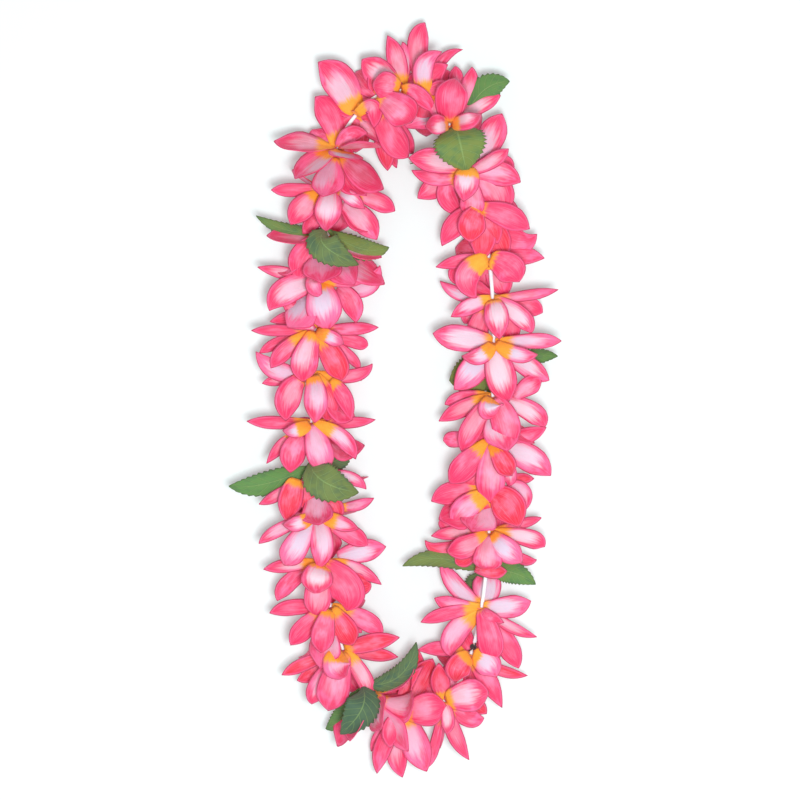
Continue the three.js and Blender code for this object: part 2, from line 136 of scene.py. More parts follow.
# Each stop is a bloom or a leaf whorl: where its throat is, how far its petals are turned, how its layers droop
# where that is unusual, and how pale it is. upperTips and lowerTips give where the tips of strung petals are.
# The rows of laidUpper, laidLower and laidLeaves are blades laid as the picture shows them, and where a stop is
# tucked, its other petals hang down below the rest. A hiddenLeaf has no row: its direction in degrees, its length.
# A row's pale below 0 paints the petal red, partly as the print's own reds and partly as painted shade; a leaf row's
# lit says how far painted shade darkens the leaf, 1 being none.
leftStream = [
    {"at": (-41, 167), "turn": 0, "look": {"ground": -1.3}, "pale": 0.55,
     "upperTips": {0: (-81, 167), 5: (-67, 143), 4: (-28, 156), 3: (-11, 166), 1: (-42, 180)},
     "lowerTips": {4: (-46, 134), 3: (-22, 135), 2: (-9, 141)},
     "laidUpper": {
         1: laid((-53, 201), (-42, 187), 9.4, -2, 0.1),
         2: laid((-55, 180), (-50, 174), 6.5, -7, 0.1),
     },
     "laidLower": {
         0: laid((-18, 176), (-29, 175), 5.8, 9, 0.0, throat=0.05),
     }},
    {"at": (-36, 139), "turn": 12, "pale": 0.8,
     "upperTips": {1: (-66, 150)},
     "laidUpper": {
         0: laid((-82, 139), (-65, 139), 4.6, 2, 0.15),
         5: laid((-69, 116), (-61, 127), 8.4, 5, 0.5, start=(-49, 136)),
         4: laid((-46, 111), (-44, 125), 9.2, 10, 1.0, lean=0.6, throat=0.05, start=(-41, 139)),
         3: laid((0, 125), (-13, 132), 6.2, 3, 0.4, start=(-30, 138)),
     },
     "laidLower": {
         0: laid((-20, 126), (-29, 133), 4.8, 12, 1.0, start=(-38, 139), throat=0.12),
         3: laid((-12, 106), (-22, 120), 8.2, 3, 0.65, start=(-35, 131), throat=0.0),
         4: laid((-61, 110), (-55, 117), 5.4, 1, 0.0, start=(-50, 123), throat=0.0),
     }},
    {"at": (-43, 113), "look": {"outer": -0.25, "inner": 0.15},
     "laidLeaves": {
         0: laid((-4, 101), (-23, 100), 7.6, 3, 0.7, lit=0.9),
         1: laid((-24, 89), (-46, 101), 11.0, 16, 0.8, lit=0.55),
         2: laid((-92, 122), (-69, 112), 4.8, -1, 0.35, lit=0.85),
     }},
    {"at": (-44, 107), "turn": -8, "pale": 0.35,
     "upperTips": {0: (-85, 107), 5: (-71, 81), 4: (-33, 91), 3: (-9, 91)},
     "lowerTips": {4: (-48, 78), 3: (-28, 77), 2: (-8, 79)},
     "laidUpper": {
         4: laid((-32, 88), (-39, 98), 7.0, 4, -0.6, throat=0.1),
         5: laid((-64, 80), (-60, 95), 9.4, 6, 0.15, throat=0.1),
     }},
    {"at": (-49, 79), "turn": 6, "pale": 0.7,
     "laidUpper": {
         0: laid((-91, 88), (-73, 84), 4.4, 0, 0.7),
         5: laid((-83, 59), (-72, 72), 9.2, 5, 0.85, throat=0.05),
         4: laid((-44, 46), (-47, 62), 12.0, 11, 1.0, lean=0.5, throat=0.2),
         3: laid((-19, 79), (-32, 79), 4.8, 9, 0.4, throat=0.3),
         2: laid((-48, 68), (-54, 76), 5.2, 15, 0.5, start=(-51, 83), throat=0.0),
     },
     "laidLower": {
         0: laid((-83, 52), (-69, 55), 4.6, -2, 0.1, start=(-56, 59)),
         3: laid((-10, 89), (-18, 76), 6.6, 2, 0.7, start=(-34, 73), throat=0.0),
         2: laid((-26, 51), (-29, 65), 7.0, 5, 0.25, start=(-39, 75), throat=0.0),
     }},
    {"at": (-54, 46), "turn": 0, "pale": 0.5,
     "laidUpper": {
         0: laid((-95, 46), (-76, 46), 3.9, 3, 0.1),
         3: laid((-11, 48), (-30, 47), 4.3, 3, 0.1),
         4: laid((-34, 37), (-42, 41), 5.0, 12, 1.0, throat=0.4),
         5: laid((-82, 21), (-71, 34), 5.8, 6, 0.3, throat=0.4),
         2: laid((-71, 48), (-61, 50), 3.8, 6, 1.0, throat=0.0),
         1: laid((-75, 67), (-65, 59), 5.4, 2, 0.5),
     },
     "laidLower": {
         4: laid((-61, 12), (-59, 28), 9.2, 9, 0.75, throat=0.2),
         3: laid((-35, 13), (-40, 26), 8.4, 7, -0.6),
         2: laid((-18, 36), (-28, 39), 4.6, 1, 0.1),
         0: laid((-90, 31), (-75, 39), 3.9, -1, 0.1),
         1: laid((-24, 20), (-31, 30), 3.6, 0, 0.1),
     }},
    {"at": (-51, 17), "turn": 24, "pale": 0.35,
     "laidUpper": {
         0: laid((-92, 32), (-79, 20), 6.6, 3, 0.8, start=(-60, 17), throat=0.0),
         4: laid((-53, -15), (-52, 1), 8.0, 13, 0.8, throat=0.2),
         5: laid((-72, -14), (-70, 3), 8.8, 8, 0.5, start=(-61, 15), throat=0.1),
         3: laid((-15, 24), (-28, 16), 4.5, 2, 0.3),
     },
     "laidLower": {
         3: laid((-29, -14), (-34, 2), 5.8, 6, 0.1, start=(-44, 13)),
         4: laid((-45, -14), (-46, 0), 8.6, 5, -0.6),
         0: laid((-88, 11), (-74, 14), 3.9, 0, 0.7),
     }},
    {"at": (-55, -15), "turn": 2, "pale": 0.4,
     "laidUpper": {
         0: laid((-98, -14), (-78, -15), 4.4, 3, 0.0),
         3: laid((-13, -13), (-31, -15), 3.8, 3, 0.2),
         5: laid((-74, -20), (-65, -20), 4.9, 13, 1.0, throat=0.5),
         4: laid((-26, -39), (-36, -24), 5.8, 10, 0.85, throat=0.38),
     },
     "laidLower": {
         4: laid((-69, -48), (-67, -34), 8.6, 8, 0.25, start=(-61, -22), throat=0.0),
         3: laid((-46, -48), (-50, -33), 9.2, 10, 0.7, throat=0.0),
         0: laid((-85, -42), (-75, -30), 4.0, 2, 0.3, start=(-68, -24)),
     }},
    {"at": (-57, -43), "look": {"outer": 0.3, "near": 0.75, "ground": -0.9},
     "laidLeaves": {
         0: laid((-110, -57), (-84, -55), 8.2, 1, 0.05, lit=0.95),
         1: laid((-24, -61), (-46, -54), 12.4, 15, 0.85, lit=0.7, start=(-57, -41)),
         2: laid((-32, -34), (-38, -40), 6.8, -6, 0.6, lit=0.35),
     }},
    {"at": (-56, -51), "turn": 30, "look": {"outer": 0.4, "inner": 0.2}, "pale": 0.15,
     "laidUpper": {
         0: laid((-90, -69), (-78, -63), 3.9, 2, 0.4, start=(-67, -55)),
         5: laid((-72, -80), (-69, -66), 8.2, 7, -0.6, start=(-65, -51), throat=0.2),
         4: laid((-37, -80), (-41, -70), 6.6, 6, -0.6, start=(-47, -61), throat=0.0),
         3: laid((-19, -59), (-32, -51), 4.4, 2, 0.9),
     },
     "laidLower": {
         4: laid((-55, -73), (-57, -63), 9.2, 5, -0.6, throat=0.0),
         2: laid((-14, -65), (-26, -70), 3.8, -1, 0.5, start=(-38, -71)),
     }},
    {"at": (-53, -75), "turn": 14, "pale": 0.9,
     "laidUpper": {
         5: laid((-74, -82), (-63, -81), 5.2, 13, 1.0, throat=0.42),
         4: laid((-24, -85), (-36, -81), 5.2, 12, 0.7, throat=0.45),
         0: laid((-90, -95), (-77, -86), 4.4, 3, 0.7),
         3: laid((-18, -96), (-30, -88), 6.4, 5, 0.1),
     },
     "laidLower": {
         4: laid((-73, -109), (-65, -96), 8.8, 11, 1.0, throat=0.0),
         3: laid((-51, -111), (-48, -96), 7.8, 12, 0.9, throat=0.0),
         2: laid((-6, -97), (-22, -100), 7.6, 3, 1.0, start=(-39, -104), throat=0.0),
     }},
    {"at": (-46, -107), "turn": -10, "pale": 0.75,
     "laidUpper": {
         0: laid((-87, -112), (-68, -109), 4.6, 3, 0.8, throat=0.36),
         5: laid((-52, -128), (-51, -117), 10.6, 15, 1.0, lean=0.5, throat=0.2),
         3: laid((-9, -122), (-28, -111), 4.8, 4, 0.7, throat=0.42),
         4: laid((-32, -139), (-32, -124), 11.6, 10, 0.15, throat=0.08),
     },
     "laidLower": {
         0: laid((-78, -133), (-69, -120), 5.8, 0, 0.05),
         4: laid((-53, -142), (-51, -131), 9.2, 9, 0.5, throat=0.0),
         3: laid((-16, -121), (-27, -121), 7.8, 5, -0.6),
     }},
    {"at": (-43, -137), "turn": 8, "pale": 0.4,
     "laidUpper": {
         0: laid((-83, -141), (-66, -137), 5.4, 2, 0.0),
         5: laid((-69, -162), (-59, -150), 7.0, 6, 0.1, throat=0.3),
         4: laid((-48, -167), (-47, -152), 7.8, 14, 0.25, throat=0.2),
         3: laid((-8, -155), (-21, -145), 6.6, 3, 0.15, throat=0.32),
     },
     "laidLower": {
         3: laid((-28, -162), (-34, -150), 8.4, 8, -0.6),
         2: laid((-22, -154), (-30, -147), 4.8, 1, 0.0),
     }},
    {"at": (-36, -166), "turn": -14, "look": {"inner": 0.35}, "pale": 0.5,
     "laidUpper": {
         0: laid((-75, -182), (-58, -174), 4.6, 1, -0.6),
         5: laid((-55, -201), (-50, -188), 6.8, 5, 0.6),
         4: laid((-44, -205), (-40, -188), 11.0, 11, 0.4, throat=0.1),
         3: laid((3, -157), (-14, -160), 6.0, 4, -0.6, throat=0.15),
     },
     "laidLower": {
         4: laid((-32, -183), (-38, -174), 9.6, 16, 0.6, throat=0.42),
         2: laid((2, -170), (-15, -168), 4.6, 2, -0.6),
         3: laid((-16, -198), (-21, -183), 5.8, 5, 0.7),
         0: laid((-65, -186), (-53, -180), 5.4, -3, -0.6),
     }},
    {"at": (-22, -189), "look": {"inner": -0.3, "outer": 0.5},
     "laidLeaves": {
         0: laid((14, -160), (3, -182), 7.0, 6, 0.6, lit=0.25),
         1: laid((-36, -220), (-22, -203), 11.5, 16, 0.3, lit=0.1),
         2: laid((-46, -218), (-34, -209), 7.0, -5, 0.1, lit=0.8),
     }},
    {"at": (-14, -193), "turn": 20, "look": {"inner": 0.7, "outer": 0.3}, "pale": 0.2,
     "upperTips": {0: (-38, -229), 5: (-28, -226), 4: (-7, -214)}},
    {"at": (5, -208), "turn": 0, "look": {"inner": 0.5}, "pale": 0.35, "tucked": True,
     "laidUpper": {
         0: laid((34, -202), (20, -204), 11.4, 10, 0.3, throat=0.2),
         1: laid((21, -246), (13, -227), 9.5, 0, 0.7),
         2: laid((5, -251), (1, -230), 7.0, -6, 0.55),
         3: laid((-3, -230), (-2, -216), 6.2, 6, 0.3),
         4: laid((25, -172), (16, -189), 9.0, -6, -0.6),
         5: laid((-1, -185), (1, -195), 7.5, -9, -0.6),
     },
     "laidLower": {
         0: laid((-12, -248), (-7, -228), 6.2, -4, 0.1),
         1: laid((-16, -234), (-8, -221), 4.5, -8, 0.2),
         2: laid((19, -176), (7, -191), 4.2, 0, -0.6),
         3: laid((15, -166), (12, -186), 8.0, -11, -0.6),
     }},
    {"at": (33, -199), "turn": 0, "look": {"inner": 0.5}, "pale": 0.6, "tucked": True,
     "laidUpper": {
         0: laid((62, -193), (48, -195), 11.0, 9, 0.75, throat=0.2),
         1: laid((29, -174), (30, -187), 6.6, 2, -0.6),
         2: laid((59, -211), (47, -210), 6.3, -3, 0.15),
         3: laid((49, -238), (39, -220), 5.4, 3, 0.35),
         4: laid((34, -221), (35, -211), 4.6, 8, 0.8, throat=0.1),
         5: laid((44, -177), (39, -187), 7.5, -3, 0.4),
     },
     "laidLower": {
         0: laid((22, -244), (27, -227), 3.6, -5, 0.0),
         1: laid((30, -232), (30, -218), 3.2, -8, 0.5),
         2: laid((61, -209), (50, -202), 5.6, -8, -0.6),
     }},
]
rightStream = [
    {"at": (-27, 189), "turn": 0, "look": {"inner": 0.5}, "pale": 0.55, "tucked": True,
     "laidUpper": {
         0: laid((-51, 224), (-36, 210), 11.6, -2, 0.8),
         1: laid((-5, 218), (-13, 209), 5.5, -9, 0.8),
         2: laid((-14, 179), (-15, 193), 5.8, 9, 0.45),
         3: laid((-50, 195), (-36, 195), 9.0, -7, 0.8),
         4: laid((-24, 172), (-24, 185), 8.0, -9, 0.3),
     },
     "laidLower": {
         0: laid((-7, 170), (-18, 180), 4.6, -3, 0.5),
         1: laid((-14, 176), (-18, 187), 8.0, -12, 0.0),
     }},
    {"at": (-12, 201), "turn": 0, "look": {"inner": 0.5}, "pale": 0.15, "tucked": True,
     "laidUpper": {
         0: laid((11, 183), (3, 191), 11.4, 13, 0.3, throat=0.14),
         1: laid((9, 161), (-3, 176), 9.5, -3, 0.05),
         2: laid((-15, 214), (-11, 205), 7.0, -11, 0.2),
     },
     "laidLower": {
         0: laid((-5, 153), (-7, 173), 7.0, -10, -0.6),
         1: laid((1, 155), (-5, 173), 4.5, -12, -0.6),
         2: laid((12, 164), (3, 177), 6.5, -7, 0.0),
     }},
    {"at": (4, 206), "turn": 0, "look": {"inner": 0.5}, "pale": 0.4, "tucked": True,
     "laidUpper": {
         0: laid((-15, 208), (-5, 207), 9.4, 9, 0.3),
         1: laid((-22, 226), (-11, 217), 9.5, -3, 0.85),
         2: laid((-5, 242), (1, 226), 6.6, -4, 0.5),
         3: laid((27, 189), (14, 202), 5.6, 10, 0.0),
         4: laid((12, 189), (7, 198), 8.0, -14, -0.6),
     },
     "laidLower": {
         0: laid((5, 238), (7, 224), 4.2, -5, 0.9),
         1: laid((1, 191), (2, 198), 8.0, -16, 0.0),
     }},
    {"at": (21, 199), "turn": 0, "look": {"inner": 0.5}, "pale": 0.5, "tucked": True,
     "laidUpper": {
         0: laid((20, 251), (15, 232), 7.0, -6, 0.45),
         1: laid((31, 230), (19, 220), 6.8, 6, 0.85),
         2: laid((35, 222), (23, 213), 8.0, 0, 0.1),
         3: laid((40, 205), (28, 203), 8.0, 4, 0.0),
         4: laid((36, 183), (29, 192), 6.6, 8, 0.4),
     },
     "laidLower": {
         0: laid((45, 233), (30, 224), 3.6, -6, 0.0),
         1: laid((19, 193), (15, 202), 7.0, -9, 0.0),
     }},
    {"at": (38, 183), "turn": 0, "look": {"inner": 0.5}, "pale": 0.6, "tucked": True,
     "laidUpper": {
         0: laid((40, 212), (37, 199), 10.8, 14, 0.05, throat=0.12),
         1: laid((20, 180), (29, 181), 6.8, 17, 0.8, lean=0.0),
         2: laid((57, 188), (48, 183), 5.6, 18, 0.8, lean=0.0),
         3: laid((70, 202), (55, 195), 5.9, -2, 0.8),
         4: laid((5, 181), (22, 187), 7.5, -5, 1.0),
         5: laid((51, 221), (48, 205), 5.6, -3, 0.4),
     },
     "laidLower": {
         0: laid((40, 222), (40, 208), 5.2, -6, 0.3),
         1: laid((34, 220), (36, 206), 6.0, -8, 0.1),
     }},
    {"at": (43, 170), "hiddenLeaf": (-120, 37.0), "look": {"near": 0.45, "outer": -0.35},
     "laidLeaves": {
         0: laid((47, 151), (43, 168), 17.6, 12, 0.5, start=(40, 182), lit=0.95),
         1: laid((76, 211), (60, 206), 9.6, -3, 0.1, start=(48, 190), lit=0.9),
     }},
    {"at": (46, 155), "turn": 22, "pale": 0.7,
     "laidUpper": {
         1: laid((71, 190), (63, 173), 9.4, -3, 0.75, start=(55, 154), throat=0.0),
         3: laid((9, 160), (28, 158), 8.4, 4, 0.75, start=(48, 154), throat=0.22),
         0: laid((75, 166), (64, 158), 5.2, 5, 0.6, start=(48, 150), throat=0.1),
         5: laid((83, 144), (68, 150), 8.4, 3, 0.5, start=(46, 152), throat=0.2),
         4: laid((45, 131), (47, 143), 8.6, 10, 1.0, start=(48, 155), throat=0.34),
         2: laid((11, 152), (27, 147), 5.6, 2, 0.2, start=(47, 150), throat=0.26),
     },
     "laidLower": {
         3: laid((15, 134), (26, 141), 7.4, -5, 0.45, start=(42, 148), throat=0.1),
         2: laid((46, 122), (34, 136), 6.8, -3, 0.0, start=(40, 149), throat=0.2),
         4: laid((51, 121), (51, 131), 8.2, 4, 0.45, start=(50, 147), throat=0.0),
         1: laid((70, 122), (67, 139), 11.0, 1, 0.45, start=(52, 152), throat=0.1),
         0: laid((78, 150), (72, 158), 5.0, -5, 0.0, start=(59, 154), throat=0.0),
     }},
    {"at": (57, 127), "turn": 0, "look": {"near": 0.9}, "pale": 0.0, "tucked": True,
     "laidUpper": {
         3: laid((31, 102), (41, 117), 7.5, 0, 0.1),
         4: laid((50, 104), (51, 117), 9.5, 7, -0.6, throat=0.12),
         5: laid((68, 103), (63, 116), 7.0, 3, -0.6),
         0: laid((89, 113), (73, 122), 8.4, 5, 0.1, throat=0.12),
         1: laid((82, 123), (71, 129), 6.0, -5, 0.2),
     },
     "laidLower": {
         0: laid((94, 110), (78, 106), 9.6, -2, 0.1),
         4: laid((73, 95), (67, 108), 9.0, 1, -0.6),
         3: laid((56, 91), (58, 108), 9.0, 3, -0.6),
     }},
    {"at": (61, 94), "turn": 18, "pale": 0.45, "tucked": True,
     "laidUpper": {
         3: laid((27, 88), (44, 92), 4.6, 0, 0.1),
         0: laid((99, 94), (82, 96), 6.8, -2, 0.1),
         5: laid((82, 78), (75, 87), 10.4, 9, 0.1, throat=0.14),
         4: laid((54, 67), (48, 82), 8.6, 5, 0.35, throat=0.34),
         2: laid((47, 103), (53, 99), 6.0, -8, 0.2),
     },
     "laidLower": {
         3: laid((40, 77), (44, 87), 6.5, -4, 0.1),
         4: laid((73, 68), (69, 81), 8.6, -5, 0.5),
         0: laid((85, 82), (77, 90), 7.0, -7, 0.1),
     }},
    {"at": (66, 67), "turn": -12, "pale": 0.55, "tucked": True,
     "laidUpper": {
         1: laid((30, 79), (44, 70), 4.6, -5, 0.9),
         3: laid((37, 55), (50, 62), 5.6, 3, 0.8),
         0: laid((108, 73), (86, 69), 3.7, 2, 0.4),
         5: laid((90, 44), (83, 55), 6.6, 6, 1.0, throat=0.1),
         4: laid((69, 40), (67, 54), 8.2, 11, 1.0, throat=0.12),
     },
     "laidLower": {
         0: laid((98, 58), (86, 63), 6.2, -4, 0.2),
         3: laid((57, 34), (55, 48), 7.4, -1, 0.3),
         4: laid((77, 38), (75, 51), 7.5, -4, 0.3),
         2: laid((46, 51), (52, 58), 7.5, -7, 0.6),
     }},
    {"at": (65, 38), "turn": 0, "pale": 0.95,
     "laidUpper": {
         3: laid((25, 44), (42, 41), 8.8, 5, 1.0, lean=0.5, throat=0.12),
         0: laid((110, 39), (90, 39), 5.2, 5, 0.9, lean=0.5, throat=0.25),
         4: laid((44, 29), (56, 29), 5.8, 12, 1.0, lean=0.5, throat=0.38),
         5: laid((94, 30), (80, 30), 5.4, 12, 1.0, lean=0.5, throat=0.4),
     },
     "laidLower": {
         3: laid((39, 7), (51, 19), 9.4, 6, 1.0, throat=0.0),
         4: laid((75, -1), (70, 15), 10.2, 9, 1.0, throat=0.0, lean=0.6),
         0: laid((102, 13), (88, 22), 7.0, 3, 1.0, throat=0.0),
         2: laid((97, 13), (88, 9), 6.4, 4, 0.5, start=(78, 1), throat=0.0),
     }},
    {"at": (64, 20), "look": {"near": 0.9, "outer": -0.1, "inner": 0.3},
     "laidLeaves": {
         0: laid((36, 13), (50, 16), 14.0, -8, 0.8, lit=1.0),
         1: laid((108, 29), (89, 28), 5.8, -6, 0.1, lit=1.0),
         2: laid((69, 3), (67, 11), 9.0, -16, 0.5, lit=0.7),
     }},
    {"at": (63, 2), "turn": 28, "pale": 0.3,
     "lowerTips": {4: (73, -32), 0: (89, -28)},
     "laidUpper": {
         3: laid((29, -14), (46, -5), 5.8, 2, 0.5, throat=0.35),
         2: laid((33, -3), (45, 1), 5.2, -2, 0.1),
         4: laid((44, -34), (51, -18), 7.4, 9, 0.5, throat=0.0),
         5: laid((74, -32), (73, -16), 9.6, 11, 0.3, throat=0.0),
         0: laid((99, -18), (89, -7), 7.0, 3, 0.95, throat=0.0),
     },
     "laidLower": {
         2: laid((67, -10), (63, -5), 8.8, 14, 1.0, throat=0.3),
         3: laid((57, -29), (59, -16), 8.0, 3, 0.1),
     }},
    {"at": (63, -27), "turn": 10, "pale": 0.3,
     "laidUpper": {
         3: laid((32, -27), (42, -26), 5.4, 1, 0.15),
         0: laid((100, -18), (85, -24), 5.6, 4, 0.1, throat=0.35),
         4: laid((77, -50), (71, -40), 7.4, 13, -0.6, throat=0.3),
         5: laid((36, -55), (48, -42), 8.8, 8, 0.1, throat=0.3),
     },
     "laidLower": {
         0: laid((103, -50), (88, -38), 9.2, 4, 1.0, throat=0.16),
         4: laid((63, -68), (63, -50), 9.8, 9, 0.5, throat=0.05),
         2: laid((74, -57), (75, -47), 5.2, 4, 1.0),
         3: laid((47, -58), (52, -48), 7.2, 3, -0.6),
     }},
    {"at": (60, -62), "turn": 0, "look": {"outer": 0.2, "inner": 0.2}, "pale": 0.25,
     "lowerTips": {2: (30, -79), 3: (50, -86)},
     "laidUpper": {
         3: laid((24, -67), (41, -61), 7.8, 3, 0.1, throat=0.3),
         4: laid((38, -83), (47, -71), 8.4, 9, 0.55, throat=0.34),
         5: laid((82, -84), (74, -69), 11.4, 11, -0.6, throat=0.0),
         0: laid((86, -73), (84, -61), 6.0, 4, 0.7, start=(75, -55), throat=0.0),
     },
     "laidLower": {
         4: laid((55, -90), (56, -75), 9.2, 6, -0.6),
         0: laid((92, -52), (82, -52), 3.6, 1, -0.6, start=(73, -52), throat=0.0),
     }},
    {"at": (62, -88), "turn": 20, "look": {"outer": 0.2, "inner": 0.3}, "pale": 0.7,
     "laidUpper": {
         1: laid((74, -113), (63, -113), 4.8, 9, -1.0, start=(52, -111), throat=0.0),
         3: laid((24, -90), (40, -88), 4.8, 1, 0.6),
         2: laid((31, -79), (38, -84), 4.8, -2, 0.4),
         4: laid((34, -100), (48, -96), 7.8, 10, 0.45),
         5: laid((84, -107), (73, -98), 8.0, 11, 1.0, throat=0.22),
         0: laid((99, -97), (87, -91), 6.2, 4, 1.0, throat=0.26),
     },
     "laidLower": {
         4: laid((60, -112), (61, -104), 9.8, 12, 0.55, throat=0.0),
         3: laid((40, -108), (48, -102), 6.8, 2, -0.6),
         2: laid((20, -93), (34, -99), 5.0, -2, -0.6),
         0: laid((97, -78), (84, -82), 3.4, -1, 0.2),
         1: laid((94, -106), (81, -104), 3.8, -3, 0.0),
     }},
    {"at": (58, -114), "look": {"near": 1.1, "inner": -0.05, "outer": 0.25},
     "laidLeaves": {
         0: laid((5, -110), (30, -105), 6.0, -2, 0.7, lit=0.8),
         1: laid((93, -122), (77, -114), 7.6, 2, 0.2, lit=0.95),
         2: laid((52, -133), (55, -124), 9.0, -15, 0.5, lit=0.6),
     }},
    {"at": (56, -137), "turn": 15, "look": {"near": 0.4, "ground": -0.8}, "pale": 0.85, "tucked": True,
     "laidUpper": {
         1: laid((30, -106), (41, -124), 6.2, -5, 0.9, throat=0.16),
         2: laid((60, -111), (61, -124), 9.6, -6, 1.0, throat=0.2),
         0: laid((90, -133), (76, -137), 7.6, 0, 1.0, throat=0.12),
         3: laid((26, -131), (40, -136), 5.4, 2, 0.4),
         4: laid((17, -147), (35, -141), 4.8, 3, 0.1),
         5: laid((72, -147), (63, -143), 3.8, 7, 0.0, throat=0.05),
     },
     "laidLower": {
         0: laid((94, -157), (76, -150), 3.8, -1, 0.7),
         1: laid((38, -170), (39, -156), 8.0, 1, 0.6),
         2: laid((64, -172), (63, -159), 8.6, 8, 0.05, throat=0.05),
         3: laid((82, -178), (74, -162), 7.4, -3, 0.15),
         4: laid((63, -127), (61, -131), 4.6, -14, -0.6, throat=0.0),
     }},
    {"at": (50, -168), "turn": 0, "look": {"inner": 0.5}, "pale": 0.35, "tucked": True,
     "laidUpper": {
         0: laid((40, -186), (42, -176), 8.6, 12, -0.6),
         1: laid((67, -183), (61, -174), 8.8, 7, 0.95),
         2: laid((88, -183), (69, -179), 3.8, -4, -0.6),
         3: laid((71, -204), (61, -185), 6.6, -2, 0.1),
         4: laid((15, -166), (32, -165), 5.2, -3, 0.1),
     },
     "laidLower": {
         0: laid((50, -197), (50, -183), 8.0, -9, 0.1),
         1: laid((32, -182), (40, -177), 7.0, -11, 0.1),
     }},
]


def softLesser(a, b):
    # the lesser of the two, rounded where they meet
    overlap = np.maximum(layerPlan["round"] - np.abs(a - b), 0) / layerPlan["round"]
    return np.minimum(a, b) - overlap * overlap * layerPlan["round"] / 4


def slopeAt(look, rise, side):
    # the droop for each millimetre away from the string, in one direction
    slope = look["near"] * np.maximum(rise, 0) ** 2 + look["ground"] * np.maximum(-rise, 0) ** 2
    slope = slope + np.where(side > 0, look["outer"], look["inner"]) * side * side
    return slope + look["tilt"] * (rise - rise * np.abs(rise))


def droopOf(slope, distance):
    return slope * distance * distance / (distance + layerPlan["flatMiddle"])


def wishedPlace(sheet, across, height):
    # where a sheet would lie with no other sheet after it
    distance = np.maximum(np.hypot(across, height), 1e-6)
    rise, side = height / distance, across / distance
    return sheet["place"] + sheet["start"] + droopOf(slopeAt(sheet["look"], rise, side), distance)


def sheetPlace(sheet, across, height, lift=0.0):
    # the chain of sheets after this one, from the last one back, each kept clear of the one after it
    chain = [sheet]
    while chain[-1]["next"] is not None and len(chain) <= layerPlan["ahead"]:
        chain.append(chain[-1]["next"])
    place = None
    for link in reversed(chain):
        wished = wishedPlace(link, across, height) + (lift if link is sheet else 0.0)
        if link["floor"] is not None:
            wished = -softLesser(-wished, np.full_like(wished, -link["floor"]))
        if place is not None:
            stretch = stretchAt(link["place"] * link["way"], across)
            gap = link["skew"] + link["next"]["skew"] + layerPlan["gap"] + layerPlan["thickness"] / stretch
            place = softLesser(wished, place - gap)
        elif link["ceiling"] is not None:
            place = softLesser(wished, np.full_like(wished, link["ceiling"]))
        else:
            place = wished
    return place


def sheetsOf(stream, way, bloom, whorl):
    # one sheet for each leaf whorl and two for each bloom, numbered on from the last bloom and whorl
    sheets = []
    for stop in stream:
        kinds = ("leaves",) if "laidLeaves" in stop else ("upper", "lower")
        whorl, bloom = (whorl + 1, bloom) if "laidLeaves" in stop else (whorl, bloom + 1)
        node = f"leaf_whorl_{whorl:02d}" if "laidLeaves" in stop else f"bloom_{bloom:02d}"
        for kind in kinds:
            look = {**layerPlan["upper" if kind == "lower" else kind], **stop.get("look", {})}
            if kind == "lower":
                look = {side: look[side] + layerPlan["lowerExtra"].get(side, 0.0) for side in look}
            sheets.append({
                "stop": stop, "kind": kind, "node": node, "look": look, "way": way,
                "place": nearestPlace(stop["at"]) * way,
                "start": layerPlan["lowerStep"] if kind == "lower" else 0.0,
                "skew": layerPlan["leafSkew" if kind == "leaves" else "petalSkew"],
                "floor": None, "ceiling": None, "next": None,
            })
    for sheet, following in zip(sheets, sheets[1:]):
        sheet["next"] = following
    return sheets, bloom, whorl


leftSheets, bloomCount, whorlCount = sheetsOf(leftStream, 1, 0, 0)
rightSheets, bloomCount, whorlCount = sheetsOf(rightStream, -1, bloomCount, whorlCount)
topMiddle = (leftSheets[0]["place"] - rightSheets[0]["place"] - stringLength) / 2
bottomMiddle = (leftSheets[-1]["place"] - rightSheets[-1]["place"]) / 2
leftSheets[0]["floor"] = topMiddle + layerPlan["apart"]
rightSheets[0]["floor"] = -topMiddle - stringLength + layerPlan["apart"]
leftSheets[-1]["ceiling"] = bottomMiddle - layerPlan["apart"]
rightSheets[-1]["ceiling"] = -bottomMiddle - layerPlan["apart"]
print("string", round(stringLength, 1), "mm;", bloomCount, "blooms;", whorlCount, "leaf whorls")


def linear(hexText):
    parts = [int(hexText[i : i + 2], 16) / 255 for i in (1, 3, 5)]
    return tuple(v / 12.92 if v <= 0.04045 else ((v + 0.055) / 1.055) ** 2.4 for v in parts) + (1.0,)


def addNode(tree, kind, inputs, out=0, **settings):
    # adds a node: an input that is a socket gets linked, any other gets set, and the asked output comes back
    node = tree.nodes.new("ShaderNode" + kind)
    for name, setting in settings.items():
        setattr(node, name, setting)
    for name, value in inputs.items():
        if isinstance(value, bpy.types.NodeSocket):
            tree.links.new(value, node.inputs[name])
        else:
            node.inputs[name].default_value = value
    return node.outputs[out] if node.outputs else None


def newMaterial(name):
    made = bpy.data.materials.new(name)
    made.use_nodes = True
    made.node_tree.nodes.clear()
    return made, made.node_tree


def finishMaterial(tree, values):
    shader = addNode(tree, "BsdfPrincipled", values)
    addNode(tree, "OutputMaterial", {"Surface": shader})


